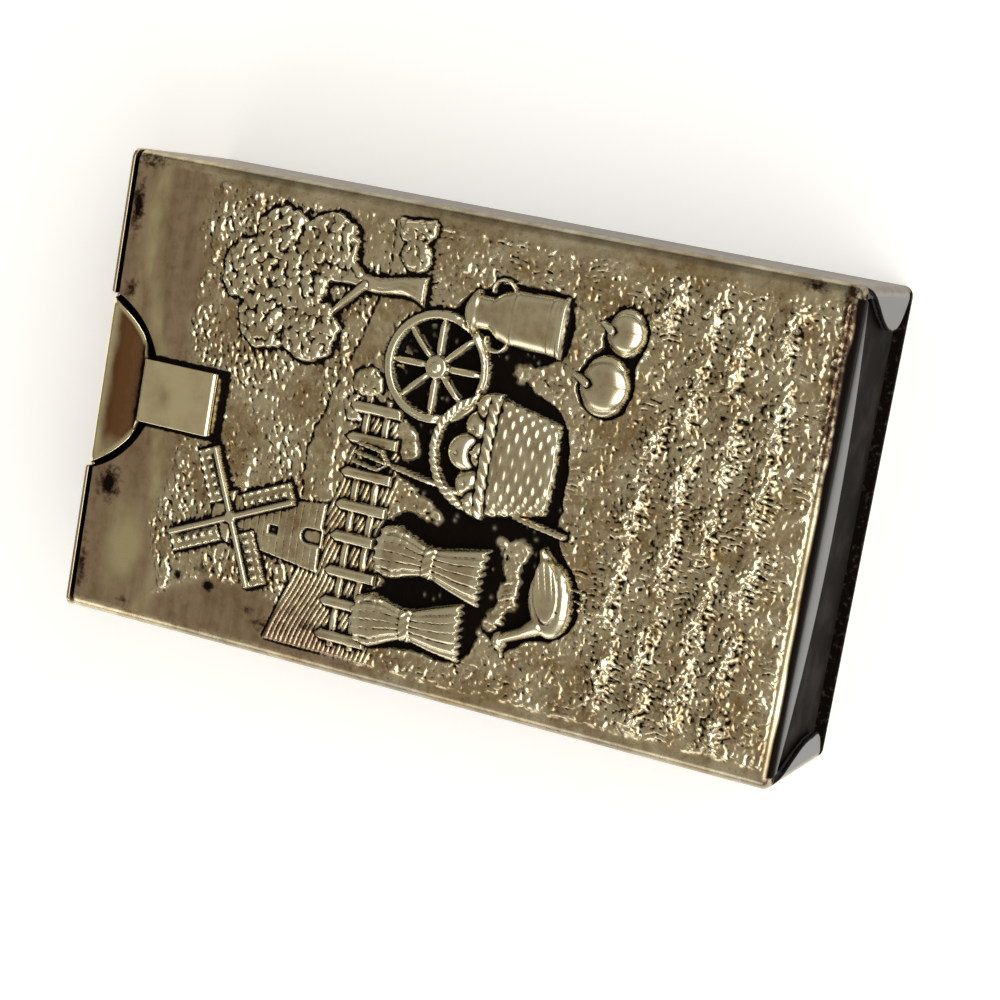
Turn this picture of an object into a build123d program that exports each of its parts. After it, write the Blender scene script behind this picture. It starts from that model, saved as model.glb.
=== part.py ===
from build123d import *
import os

# Matchbox holder: a case folded from embossed sheet silver over a plain back plate, and a drawer
# that slides out of one end by a spring tongue. All lengths are in millimetres.
#
# Frame: the holder lies on its plain back. +Z points out of the embossed front, X runs along the
# drawer's travel, with the tongue at -X and the finger opening at +X, and Y runs across. The origin
# is at the middle of the back face. The picture on the front stands upright towards -X.

# Case
case_length = 60.6
case_width = 38.0
case_depth = 15.5
case_sheet = 0.5
long_edge_radius = 1.1
end_edge_radius = 0.8
back_sheet = 0.5
back_edge_bevel = 0.15

# Finger opening at the +X end: a bowed lip above, an ear on each side, a slit in each upper corner
lip_drop_middle = 4.6
lip_drop_end = 1.6
slit_radius = 0.45
slit_side_margin = 0.15
ear_reach_plus_y = 3.5
ear_reach_minus_y = 2.6
ear_tip_height = 4.9
ear_root_height = 0.9
ear_slope_share = 0.4

# Half-moon notch at the -X end of the front, which the tongue leaves through
notch_width = 14.4
notch_reach = 4.8

# Drawer pan
pan_sheet = 0.4
pan_side_clearance = 0.2
pan_base_clearance = 0.15
pan_top_clearance = 0.45
pan_end_clearance = 0.15
pan_fold_radius = 1.1
pan_corner_radius = 0.8

# Drawer plate with its flap and tongue, cut from one springy strip
plate_sheet = 0.3
plate_gap = 0.35
plate_corner_radius = 0.9
plate_floor_clearance = 0.1
flap_width = 13.8
flap_reach = 4.35
flap_rise = 0.1
flap_dip = 0.75
flap_crest_share = 0.3
flap_trough_share = 0.8
flap_bend_radius = 0.9
flap_crest_radius = 1.6
flap_trough_radius = 0.4
tongue_width = 5.1
tongue_root = 4.15
tongue_length = 6.6
tongue_lift = 0.45
tongue_root_radius = 0.5
tongue_turn_radius = 0.5
tongue_tip_clearance = 0.1

# Relief on the front: heights above the flat sheet, and how deep the forms are rooted in it
relief_low = 0.5
relief_middle = 0.8
relief_high = 1.3
relief_root = 0.2

# Motifs of the relief. A place is a share of the front's width and length, counted from the middle
# to the picture's right and up. The profile of a turned form is given as shares of half its width
# and of its length, and an outline as shares of its width and length.
mill_place_share = (-0.221, 0.139)
mill_height = 8.0
mill_base_width = 5.6
mill_top_width = 3.6
mill_cap_height = 1.9
mill_cap_width = 4.3
mill_cap_shares = ((1.0, 0.0), (0.8, 0.5), (0.2, 1.0))
mill_sail_length = 5.8
mill_sail_width = 1.6
mill_sail_start_share = 0.25
mill_stock_width = 0.45
mill_sail_turn = 24
tree_place_share = (0.321, 0.05)
trunk_height = 8.6
trunk_width = 2.4
trunk_waist_shares = (0.25, 0.33)
trunk_top_share = 0.33
crown_radius = 2.5
crown_shares = ((0.295, 0.3), (0.208, 0.267), (0.374, 0.257), (0.2, 0.205), (0.289, 0.228), (0.376, 0.195))
tuft_radius = 2.0
tuft_shares = ((0.235, 0.235), (0.34, 0.265))
fence_place_share = (-0.174, 0.089)
fence_length = 20.0
fence_post_height = 4.2
fence_post_width = 0.8
fence_post_count = 7
fence_rail_width = 0.6
fence_rail_gap = 1.7
sheaf_place_shares = ((-0.342, -0.073), (-0.221, -0.091))
sheaf_height = 8.6
sheaf_width = 4.6
sheaf_shares = ((1.0, 0.0), (0.52, 0.5), (0.92, 0.88), (0.6, 1.0))
wheel_place_share = (0.179, 0.0165)
wheel_radius = 4.4
wheel_rim_width = 0.75
wheel_spoke_width = 0.55
wheel_spoke_count = 8
basket_place_share = (0.024, -0.162)
basket_height = 5.6
basket_width = 9.4
basket_shares = ((0.74, 0.0), (0.96, 0.84), (1.0, 1.0))
basket_handle_width = 0.7
apple_radius = 1.5
apple_shares = ((-0.24, 1.12), (0.22, 1.1))
churn_place_share = (0.305, -0.145)
churn_height = 8.2
churn_width = 4.8
churn_shares = ((1.0, 0.0), (0.9, 0.55), (0.56, 0.72), (0.7, 0.92), (0.4, 1.0))
goose_place_share = (-0.232, -0.188)
goose_length = 6.6
goose_depth = 3.8
goose_shares = ((0.3, 0.0), (1.0, 0.35), (0.8, 0.7), (0.1, 1.0))
goose_neck_width = 1.1
goose_neck_shares = ((-0.3, 0.1), (-0.52, 0.5), (-0.62, 0.95))
goose_head_radius = 0.9
pumpkin_place_share = (0.21, -0.208)
pumpkin_radius = 2.4

# Banks of the meadow: a place, and the bank's length as a share of the longest one's
bank_length = 5.4
bank_width = 2.0
bank_height = 0.3
bank_slope = 45
bank_shoulder_share = 0.6
bank_shares = (
    (-0.347, -0.269, 0.93),
    (-0.179, -0.262, 0.96),
    (-0.011, -0.272, 0.85),
    (0.126, -0.282, 0.67),
    (0.389, -0.274, 0.67),
    (-0.268, -0.315, 0.89),
    (-0.095, -0.323, 1.0),
    (0.074, -0.328, 0.81),
    (0.226, -0.317, 0.93),
    (0.384, -0.327, 0.78),
    (-0.353, -0.371, 0.85),
    (-0.184, -0.378, 0.93),
    (-0.021, -0.37, 0.85),
    (0.142, -0.376, 0.96),
    (0.305, -0.368, 0.89),
    (-0.263, -0.422, 0.89),
    (-0.105, -0.429, 0.85),
    (0.058, -0.424, 0.96),
    (0.221, -0.431, 0.85),
    (0.379, -0.426, 0.78),
)

overrun = 2.0

# Places that follow from the sizes
plate_outer_x = -(plate_sheet + plate_gap + case_length) / 2
plate_inner_x = plate_outer_x + plate_sheet
case_start_x = plate_inner_x + plate_gap
case_end_x = case_start_x + case_length
side_inner_y = case_width / 2 - case_sheet
front_z = case_depth
pan_half_width = side_inner_y - pan_side_clearance
pan_end_x = case_end_x - case_sheet - pan_end_clearance
pan_base_z = back_sheet + pan_base_clearance
pan_rim_z = front_z - case_sheet - pan_top_clearance


def segment_radius(chord, rise):
    """Radius of the circle that a segment of this chord and rise is cut from."""
    return (chord * chord / 4 + rise * rise) / (2 * rise)


def folded_block(start_x, end_x, half_width, low_z, high_z, long_radius, end_radius):
    """Solid block with its long upper edges and the edges of its +X end rounded."""
    with BuildPart() as block:
        with BuildSketch(Plane.XY.offset(low_z)):
            with Locations(((start_x + end_x) / 2, 0)):
                Rectangle(end_x - start_x, 2 * half_width)
        extrude(amount=high_z - low_z)
        upper_edges = block.faces().sort_by(Axis.Z)[-1].edges()
        fillet(upper_edges.filter_by(Axis.X), radius=long_radius)
        end_edges = block.faces().sort_by(Axis.X)[-1].edges()
        fillet(end_edges.sort_by(Axis.Z)[1:], radius=end_radius)
    return block.part


def end_opening_outline(ear_reaches):
    """Outline of the metal that is cut away at the +X end, in Y and Z, with the -Y ear's reach first."""
    slit_inner_y = side_inner_y + slit_side_margin - 2 * slit_radius
    slit_outer_y = slit_inner_y + 2 * slit_radius
    slit_z = front_z - lip_drop_end
    with BuildLine() as outline:
        ThreePointArc((-slit_inner_y, slit_z), (0, front_z - lip_drop_middle), (slit_inner_y, slit_z))
        for side, reach in zip((-1, 1), ear_reaches):
            ThreePointArc(
                (side * slit_inner_y, slit_z),
                (side * (slit_inner_y + slit_radius), slit_z + slit_radius),
                (side * slit_outer_y, slit_z),
            )
            Spline(
                (side * slit_outer_y, slit_z),
                (side * (case_width / 2 - reach), ear_tip_height),
                (side * side_inner_y, ear_root_height),
                tangents=[(-side * ear_slope_share, -1), (0, -1), (side, -ear_slope_share)],
            )
            Line((side * side_inner_y, ear_root_height), (side * side_inner_y, 0))
        Line((-side_inner_y, 0), (side_inner_y, 0))
    return outline.edges()


# the picture's plane on the front: X runs to the picture's right and Y upwards
picture = Plane(origin=(0, 0, front_z), x_dir=(0, 1, 0), z_dir=(0, 0, 1))
picture_root = picture.offset(-relief_root)


def picture_point(share):
    """Point of the picture plane that a place stands for."""
    return (share[0] * case_width, share[1] * case_length)


def boss(radius, height):
    """Round swelling with a domed top on a short root, its foot at the origin."""
    with BuildPart() as swelling:
        with BuildSketch(Plane.XZ):
            with BuildLine():
                TangentArc((0, height), (radius, 0), tangent=(1, 0))
                Polyline((radius, 0), (radius, -relief_root), (0, -relief_root), (0, height))
            make_face()
        revolve(axis=Axis.Z)
    return swelling.part


def turned_relief(profile_shares, width, length, height):
    """Half of a turned form that lies in the sheet with its foot at the origin, flattened to a height."""
    with BuildPart() as form:
        with BuildSketch():
            with BuildLine():
                profile = [(share * width / 2, level * length) for share, level in profile_shares]
                Polyline((0, 0), *profile, (0, length), close=True)
            make_face()
        revolve(axis=Axis.Y, revolution_arc=-180)
        scale(by=(1, 1, 2 * height / width))
    return form.part


with BuildPart() as windmill:
    mill = picture_point(mill_place_share)
    with BuildSketch(picture_root):
        with Locations(mill):
            Polygon(
                (-mill_base_width / 2, 0),
                (mill_base_width / 2, 0),
                (mill_top_width / 2, mill_height),
                (-mill_top_width / 2, mill_height),
                align=None,
            )
    extrude(amount=relief_root + relief_low)
    with Locations(picture * Location((mill[0], mill[1] + mill_height, 0))):
        add(turned_relief(mill_cap_shares, mill_cap_width, mill_cap_height, relief_low))
    # four sails on their crossed stocks
    sail_start = mill_sail_length * mill_sail_start_share
    with BuildSketch(picture_root):
        with Locations((mill[0], mill[1] + mill_height)):
            with PolarLocations(0, 4, start_angle=mill_sail_turn):
                Rectangle(mill_sail_length, mill_stock_width, align=(Align.MIN, Align.CENTER))
            with PolarLocations(sail_start, 4, start_angle=mill_sail_turn):
                Rectangle(mill_sail_length - sail_start, mill_sail_width, align=(Align.MIN, Align.MIN))
    extrude(amount=relief_root + relief_middle)


def trunk_outline():
    """Outline of the tree's waisted trunk, its foot at the origin."""
    across, up = trunk_waist_shares
    top = trunk_width * trunk_top_share
    with BuildLine() as outline:
        for side in (-1, 1):
            ThreePointArc(
                (side * trunk_width / 2, 0),
                (side * trunk_width * across, trunk_height * up),
                (side * top, trunk_height),
            )
        Line((-trunk_width / 2, 0), (trunk_width / 2, 0))
        Line((-top, trunk_height), (top, trunk_height))
    return outline.edges()


with BuildPart() as tree:
    with BuildSketch(picture * Location((*picture_point(tree_place_share), -relief_root))):
        make_face(trunk_outline())
    with BuildSketch(picture_root):
        with Locations(*[picture_point(share) for share in crown_shares]):
            Circle(crown_radius)
    extrude(amount=relief_root + relief_low)
    with Locations(*[picture * Location((*picture_point(share), relief_low)) for share in tuft_shares]):
        add(boss(tuft_radius, relief_middle - relief_low))


with BuildPart() as fence:
    fence_middle = picture_point(fence_place_share)
    with BuildSketch(picture_root):
        with Locations(fence_middle):
            with GridLocations(fence_length / (fence_post_count - 1), 0, fence_post_count, 1):
                Rectangle(fence_post_width, fence_post_height)
            with GridLocations(0, fence_rail_gap, 1, 2):
                Rectangle(fence_length, fence_rail_width)
    extrude(amount=relief_root + relief_low)


with BuildPart() as sheaves:
    sheaf_places = [picture * Location((*picture_point(share), 0)) for share in sheaf_place_shares]
    with Locations(*sheaf_places):
        add(turned_relief(sheaf_shares, sheaf_width, sheaf_height, relief_high))


with BuildPart() as cart_wheel:
    with BuildSketch(picture_root):
        with Locations(picture_point(wheel_place_share)):
            Circle(wheel_radius)
            Circle(wheel_radius - wheel_rim_width, mode=Mode.SUBTRACT)
            Circle(wheel_rim_width)
            with PolarLocations(0, wheel_spoke_count):
                Rectangle(
                    wheel_radius - wheel_rim_width / 2, wheel_spoke_width, align=(Align.MIN, Align.CENTER)
                )
    extrude(amount=relief_root + relief_middle)


with BuildPart() as basket:
    basket_foot = picture_point(basket_place_share)
    with Locations(picture * Location((*basket_foot, 0))):
        add(turned_relief(basket_shares, basket_width, basket_height, relief_high))
    with BuildSketch(picture_root):
        with Locations((basket_foot[0], basket_foot[1] + basket_height)):
            Circle(basket_width / 2)
            Circle(basket_width / 2 - basket_handle_width, mode=Mode.SUBTRACT)
    extrude(amount=relief_root + relief_middle)
    apple_places = [
        picture * Location((basket_foot[0] + across * basket_width, basket_foot[1] + up * basket_height, 0))
        for across, up in apple_shares
    ]
    with Locations(*apple_places):
        add(boss(apple_radius, relief_high))


with BuildPart() as churn:
    with Locations(picture * Location((*picture_point(churn_place_share), 0))):
        add(turned_relief(churn_shares, churn_width, churn_height, relief_high))


with BuildPart() as goose:
    breast = picture_point(goose_place_share)
    neck = [
        (breast[0] + across * goose_length, breast[1] + up * goose_depth) for across, up in goose_neck_shares
    ]
    # the body lies along the picture's width, its breast to the left
    with Locations(picture * Location((breast[0] - goose_length / 2, breast[1], 0), (0, 0, -90))):
        add(turned_relief(goose_shares, goose_depth, goose_length, relief_high))
    with BuildSketch(picture_root):
        with BuildLine():
            Spline(*neck)
        trace(line_width=goose_neck_width)
    extrude(amount=relief_root + relief_low)
    with Locations(picture * Location((*neck[-1], 0))):
        add(boss(goose_head_radius, relief_middle))


with BuildPart() as pumpkin:
    with Locations(picture * Location((*picture_point(pumpkin_place_share), 0))):
        add(boss(pumpkin_radius, relief_high))


with BuildPart() as meadow_banks:
    for across, up, length_share in bank_shares:
        half = bank_length * length_share / 2
        shoulder = half * bank_shoulder_share
        with BuildSketch(picture_root):
            with Locations(picture_point((across, up))):
                Polygon(
                    (-half, 0),
                    (-shoulder, -bank_width / 2),
                    (shoulder, -bank_width / 2),
                    (half, 0),
                    (shoulder, bank_width / 2),
                    (-shoulder, bank_width / 2),
                    align=None,
                )
    extrude(amount=relief_root + bank_height, taper=bank_slope)


with BuildPart() as embossed_case:
    add(
        folded_block(
            case_start_x,
            case_end_x,
            case_width / 2,
            back_sheet,
            front_z,
            long_edge_radius,
            end_edge_radius,
        )
    )
    add(
        folded_block(
            case_start_x - overrun,
            case_end_x - case_sheet,
            side_inner_y,
            back_sheet - overrun,
            front_z - case_sheet,
            long_edge_radius - case_sheet,
            end_edge_radius - case_sheet,
        ),
        mode=Mode.SUBTRACT,
    )
    # finger opening
    with BuildSketch(Plane.YZ.offset(case_end_x)):
        make_face(end_opening_outline((ear_reach_minus_y, ear_reach_plus_y)))
    extrude(amount=-end_edge_radius, mode=Mode.SUBTRACT)
    # half-moon notch
    notch_radius = segment_radius(notch_width, notch_reach)
    with BuildSketch(Plane.XY.offset(front_z)):
        with Locations((case_start_x + notch_reach - notch_radius, 0)):
            Circle(notch_radius)
    extrude(amount=-long_edge_radius, mode=Mode.SUBTRACT)
    # relief
    for motif in (windmill, tree, fence, sheaves, cart_wheel, basket, churn, goose, pumpkin, meadow_banks):
        add(motif.part)

embossed_case.part.label = "embossed_case"


with BuildPart() as back_plate:
    with BuildSketch():
        with Locations(((case_start_x + case_end_x) / 2, 0)):
            Rectangle(case_length, case_width)
    extrude(amount=back_sheet)
    corner_edges = back_plate.edges().filter_by(Axis.Z).sort_by(Axis.X)[-2:]
    fillet(corner_edges, radius=end_edge_radius)
    chamfer(back_plate.faces().sort_by(Axis.Z)[0].edges(), length=back_edge_bevel)

back_plate.part.label = "back_plate"


def pan_block(end_x, half_width, base_z, high_z, fold_radius, corner_radius):
    """Solid block with its lower edges and the upright edges of its +X end rounded."""
    with BuildPart() as block:
        with BuildSketch(Plane.XY.offset(base_z)):
            with Locations(((plate_inner_x + end_x) / 2, 0)):
                Rectangle(end_x - plate_inner_x, 2 * half_width)
        extrude(amount=high_z - base_z)
        fillet(block.edges().filter_by(Axis.Z).sort_by(Axis.X)[-2:], radius=corner_radius)
        base_edges = block.faces().sort_by(Axis.Z)[0].edges()
        fillet(base_edges.sort_by(Axis.X)[1:], radius=fold_radius)
    return block.part


with BuildPart() as drawer_pan:
    add(pan_block(pan_end_x, pan_half_width, pan_base_z, pan_rim_z, pan_fold_radius, pan_corner_radius))
    add(
        pan_block(
            pan_end_x - pan_sheet,
            pan_half_width - pan_sheet,
            pan_base_z + pan_sheet,
            pan_rim_z + overrun,
            pan_fold_radius - pan_sheet,
            pan_corner_radius - pan_sheet,
        ),
        mode=Mode.SUBTRACT,
    )

drawer_pan.part.label = "drawer_pan"


with BuildPart() as drawer_plate:
    flap_z = front_z + flap_rise
    tongue_z = front_z + tongue_lift + plate_sheet
    tongue_root_x = plate_inner_x + tongue_root
    tongue_end_x = tongue_root_x + tongue_length
    # side view of the strip, along its outer face
    with BuildSketch(Plane.XZ):
        with BuildLine():
            FilletPolyline(
                (plate_outer_x, plate_floor_clearance),
                (plate_outer_x, flap_z),
                (plate_inner_x + flap_crest_share * tongue_root, flap_z),
                (plate_inner_x + flap_trough_share * tongue_root, flap_z - flap_dip),
                (tongue_root_x, tongue_z),
                (tongue_end_x, tongue_z),
                (tongue_end_x, front_z + tongue_tip_clearance),
                radius=[
                    flap_bend_radius,
                    flap_crest_radius,
                    flap_trough_radius,
                    tongue_root_radius,
                    tongue_turn_radius,
                ],
            )
            offset(amount=plate_sheet, side=Side.RIGHT, closed=True)
        make_face()
    extrude(amount=flap_width / 2, both=True)
    # plan of the strip: the band over the plate, the half-moon flap and the tongue
    flap_radius = segment_radius(flap_width, flap_reach)
    with BuildSketch():
        with Locations((plate_inner_x, 0)):
            Rectangle(2 * plate_sheet, flap_width)
        with Locations((plate_inner_x + flap_reach - flap_radius, 0)):
            Circle(flap_radius)
        with Locations((plate_inner_x, 0)):
            Rectangle(tongue_root + tongue_length, tongue_width, align=(Align.MIN, Align.CENTER))
    extrude(amount=tongue_z, mode=Mode.INTERSECT)
    # the plate on both sides of the strip
    with BuildSketch(Plane.YZ.offset(plate_outer_x)):
        with Locations((0, (plate_floor_clearance + front_z) / 2)):
            RectangleRounded(case_width, front_z - plate_floor_clearance, plate_corner_radius)
    extrude(amount=plate_sheet)

drawer_plate.part.label = "drawer_plate"


os.makedirs("parts", exist_ok=True)
for piece in (embossed_case, back_plate, drawer_pan, drawer_plate):
    export_step(piece.part, f"parts/{piece.part.label}.step")
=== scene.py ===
"""Looks of the matchbox holder: the embossed case, its back plate and the drawer with its tongue.

Sizes in the surface functions are millimetres until a mesh is made, and metres from there on.
"""

import math

import bpy
import numpy as np
from mathutils import Matrix, Vector
from mathutils.geometry import delaunay_2d_cdt


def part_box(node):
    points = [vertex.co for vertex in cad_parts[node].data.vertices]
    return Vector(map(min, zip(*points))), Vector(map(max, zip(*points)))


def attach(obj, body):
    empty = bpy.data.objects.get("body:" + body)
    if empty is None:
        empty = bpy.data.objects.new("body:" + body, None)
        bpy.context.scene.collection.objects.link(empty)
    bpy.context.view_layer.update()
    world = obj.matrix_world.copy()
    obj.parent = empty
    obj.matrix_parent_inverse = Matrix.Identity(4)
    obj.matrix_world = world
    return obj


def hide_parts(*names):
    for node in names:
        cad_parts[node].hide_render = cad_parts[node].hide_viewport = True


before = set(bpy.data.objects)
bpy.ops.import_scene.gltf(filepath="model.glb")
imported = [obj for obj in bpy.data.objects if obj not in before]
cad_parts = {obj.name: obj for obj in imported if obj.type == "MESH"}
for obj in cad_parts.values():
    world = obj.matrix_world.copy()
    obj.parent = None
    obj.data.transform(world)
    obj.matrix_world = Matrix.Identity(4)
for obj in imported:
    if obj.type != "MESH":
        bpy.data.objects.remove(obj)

bl_info = {
    "name": "Matchbox Holder",
    "version": (1, 0, 0),
    "blender": (4, 5, 0),
    "location": "View3D > Sidebar > Holder",
    "description": "Builds the visible surfaces of an embossed metal matchbox holder and its stage",
    "category": "Add Mesh",
}

MM = 0.001
# Height of the front's flat face over the back plate, and the range along the case over which the
# pan's end wall turns black, in millimetres
FRONT_HEIGHT, END_WALL = 15.0, (29.7, 29.9)
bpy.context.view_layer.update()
CASE_LOW, CASE_HIGH = (np.array(corner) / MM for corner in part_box("embossed_case"))
PLATE_LOW, PLATE_HIGH = (np.array(corner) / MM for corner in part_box("drawer_plate"))
BACK_LOW, BACK_HIGH = (np.array(corner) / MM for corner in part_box("back_plate"))
FRONT = BACK_HIGH[2] + FRONT_HEIGHT


def linear(hex_colour):
    """Linear colour of an sRGB hex value, with alpha 1."""
    values = np.array([int(hex_colour[i : i + 2], 16) for i in (1, 3, 5)]) / 255
    toe = values / 12.92
    curve = ((values + 0.055) / 1.055) ** 2.4
    return (*np.where(values <= 0.04045, toe, curve).tolist(), 1.0)


def length_property(name, description, default):
    """Length in metres with a millimetre default."""
    return bpy.props.FloatProperty(
        name=name, description=description, default=default * MM, min=0.0, unit="LENGTH", precision=5
    )


def colour_property(name, description, default):
    """Colour with an sRGB hex default."""
    kind = {"size": 4, "min": 0.0, "max": 1.0, "subtype": "COLOR"}
    default = linear(default)
    return bpy.props.FloatVectorProperty(name=name, description=description, default=default, **kind)


class HolderSizes(bpy.types.PropertyGroup):
    """Lengths of the visible surfaces."""

    sheet: length_property("Case sheet", "Thickness of the embossed sheet", 0.5)
    long_radius: length_property("Long edge radius", "Rounding of the folds along the case", 1.1)
    end_radius: length_property("End edge radius", "Rounding of the folds round the open end", 0.8)
    notch_width: length_property("Notch width", "Width of the half-moon notch", 14.4)
    notch_reach: length_property("Notch reach", "Depth of the half-moon notch", 4.8)
    lip_end: length_property("Lip at the corners", "How far the lip drops beside the slits", 1.6)
    lip_middle: length_property("Lip in the middle", "How far the lip drops in its middle", 4.6)
    plate_sheet: length_property("Plate sheet", "Thickness of the drawer plate", 0.3)
    flap_width: length_property("Flap width", "Width of the half-moon flap", 13.8)
    flap_reach: length_property("Flap reach", "Depth of the half-moon flap", 4.35)
    tongue_width: length_property("Tongue width", "Width of the spring tongue", 5.1)
    tongue_length: length_property("Tongue length", "Length of the raised part of the spring tongue", 6.6)


class HolderColours(bpy.types.PropertyGroup):
    """Colours of the finishes."""

    silver: colour_property("Silver", "Worn bright silver plate", "#E8DBB8")
    rubbed: colour_property("Rubbed silver", "High forms rubbed almost clean", "#F2EACB")
    patina: colour_property("Patina", "Brown film on the flat parts", "#A98E60")
    russet: colour_property("Russet film", "Redder film in patches of the flats", "#8E6A50")
    violet: colour_property("Thin tarnish", "Violet-grey film on the smooth end", "#C8B095")
    tarnish: colour_property("Tarnish", "Darker brown film on the smooth end and the back", "#A38B6B")
    straw: colour_property("Straw film", "Yellow streaks on the smooth end", "#E6D9AE")
    # smoke also darkens the long folds and the sides as painted shade
    smoke: colour_property("Smoke", "Grey film on the lip, the ears, the folds and the sides", "#626260")
    # oxide is also the black of the painted shade
    oxide: colour_property("Oxide", "Black oxide in the hollows", "#120D09")
    stain: colour_property("Stain", "Dark brown stains", "#4A3526")
    brass: colour_property("Handled strip", "Warm clean metal of the tongue", "#FDF1C6")
    # umber also stands for painted shade in the flap's dip
    umber: colour_property("Brown film", "Brown film in the flap's dip and inside the pan", "#86603E")
    floor: colour_property("Floor", "Matte floor under the holder", "#F7F7F6")




def ramp(low, high, x):
    """Rise from 0 to 1 between two levels along the cubic 3t^2 - 2t^3."""
    t = np.clip((x - low) / (high - low), 0.0, 1.0)
    return t * t * (3.0 - 2.0 * t)


def lattice_noise(u, v, size, seed):
    """Seeded random values at the crossings of a square lattice, smoothly blended in between, -1 to 1."""
    table = np.random.default_rng(seed).random((64, 64)) * 2.0 - 1.0
    x, y = u / size + 500.0, v / size + 500.0
    i, j = np.floor(x).astype(int), np.floor(y).astype(int)
    a, b = ramp(0, 1, x - i), ramp(0, 1, y - j)
    i0, i1, j0, j1 = i % 64, (i + 1) % 64, j % 64, (j + 1) % 64
    low = table[i0, j0] * (1 - a) + table[i1, j0] * a
    high = table[i0, j1] * (1 - a) + table[i1, j1] * a
    return low * (1 - b) + high * b


def cloudy(u, v, size, seed):
    """Three sizes of lattice noise added up, each half as large and half as strong as the one before."""
    return sum(lattice_noise(u, v, size / 2**k, seed + k) / 2**k for k in range(3)) / 1.75


def scatter(u, v, pitch_u, pitch_v, seed, stamp, jitter=0.9):
    """Largest value of a small form set once at a random place in each cell of a lattice."""
    tables = np.random.default_rng(seed).random((4, 97, 97))
    cell_u, cell_v = np.floor(u / pitch_u).astype(int), np.floor(v / pitch_v).astype(int)
    best = np.zeros_like(u)
    for du in (-1, 0, 1):
        for dv in (-1, 0, 1):
            i, j = cell_u + du, cell_v + dv
            r = [t[i % 97, j % 97] for t in tables]
            x = u - (i + 0.5 + jitter * (r[0] - 0.5)) * pitch_u
            y = v - (j + 0.5 + jitter * (r[1] - 0.5)) * pitch_v
            best = np.maximum(best, stamp(x, y, r[2], r[3]))
    return best


def limb(u, v, a, b, ra, rb):
    """Signed distance from a straight limb whose radius runs from one value to the other."""
    dx, dy = b[0] - a[0], b[1] - a[1]
    t = np.clip(((u - a[0]) * dx + (v - a[1]) * dy) / (dx * dx + dy * dy), 0, 1)
    return np.hypot(u - a[0] - t * dx, v - a[1] - t * dy) - (ra + (rb - ra) * t)


def polygon(u, v, points):
    """Signed distance from a closed outline, negative inside by the rule of crossed edges."""
    distance = np.full_like(u, 1e9)
    sign = np.ones_like(u)
    for (ax, ay), (bx, by) in zip(points, points[1:] + points[:1]):
        distance = np.minimum(distance, limb(u, v, (ax, ay), (bx, by), 0, 0))
        above, below = v >= ay, v < by
        left = (bx - ax) * (v - ay) > (by - ay) * (u - ax)
        sign = np.where((above & below & left) | (~above & ~below & ~left), -sign, sign)
    return sign * distance


def local(u, v, centre, turn=0.0):
    """Coordinates of a motif with its own middle and a turn in degrees."""
    return turned(u - centre[0], v - centre[1], math.radians(turn))


def ellipse(u, v, centre, a, b, turn=0.0):
    """Nearly the signed distance from an ellipse."""
    x, y = local(u, v, centre, turn)
    return (np.hypot(x / a, y / b) - 1) * min(a, b)


def bar(x, y, half_x, half_y):
    """Signed distance from an upright rectangle round the origin, by the larger of its two sides."""
    return np.maximum(np.abs(x) - half_x, np.abs(y) - half_y)


def upright(x, y, half, height):
    """Signed distance from a form that stands on the line y = 0 and whose half width can vary."""
    return np.maximum(np.abs(x) - half, np.maximum(-y, y - height))


def turned(x, y, turn):
    """Coordinates in a frame turned by an angle in radians."""
    s, c = np.sin(turn), np.cos(turn)
    return x * c + y * s, y * c - x * s


def bulge(x):
    """Half circle over the range -1 to 1."""
    return np.sqrt(np.clip(1 - x**2, 0, 1))


def rounded(distance, width):
    """Quarter circle that rises from 0 on an outline to 1 at a width inside it."""
    t = 1 - np.clip(-distance / width, 0, 1)
    return np.sqrt(1 - t * t)


def ridge(x, width):
    """Bell curve over a line."""
    return np.exp(-((x / width) ** 2))


def lay(field, distance, height, edge=0.07, groove=0.0, reach=0.3):
    """Puts a form over the field inside its outline, and sinks a groove into the field round it."""
    near = ridge(np.maximum(distance, 0), reach)
    sunk = field - groove * near
    return sunk + (height - sunk) * ramp(edge, -edge, distance)


# Heights of the relief over the flat sheet, and the places of its motifs as the solids have them
LOW, MIDDLE, HIGH = 0.5, 0.8, 1.3
MILL, FENCE, TREE = (-8.4, 8.42), (-6.6, 5.4), (12.2, 3.03)
CROWN = ((11.2, 18.2), (7.9, 16.2), (14.2, 15.6), (7.6, 12.4), (11.0, 13.8), (14.3, 11.8))
SHEAVES = ((-13.0, -4.4), (-8.4, -5.5))
WHEEL, BASKET, CHURN = (6.8, 1.0), (0.9, -9.8), (11.6, -8.8)
GOOSE, PUMPKIN, SMALL_PUMPKIN = (-8.8, -11.4), (8.0, -12.6), (12.2, -13.6)
# Apples in the basket: across and up from its foot, radius, and share of the full height
APPLES = (
    (-2.26, 6.26, 1.5, 1.0), (2.08, 6.16, 1.5, 1.0), (0.0, 7.27, 1.5, 1.0),
    (-3.75, 5.75, 1.15, 0.95), (3.75, 5.8, 1.15, 0.95), (0.0, 5.7, 1.2, 0.95),
)
# The goose's tail and the two parts of its neck: ends and radii
GOOSE_LIMBS = (
    ((1.6, 0.3), (3.6, 1.2), 1.1, 0.35),
    ((-2.1, 0.6), (-3.0, 1.9), 0.8, 0.48),
    ((-3.0, 1.9), (-3.7, 3.3), 0.48, 0.42),
)


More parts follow.
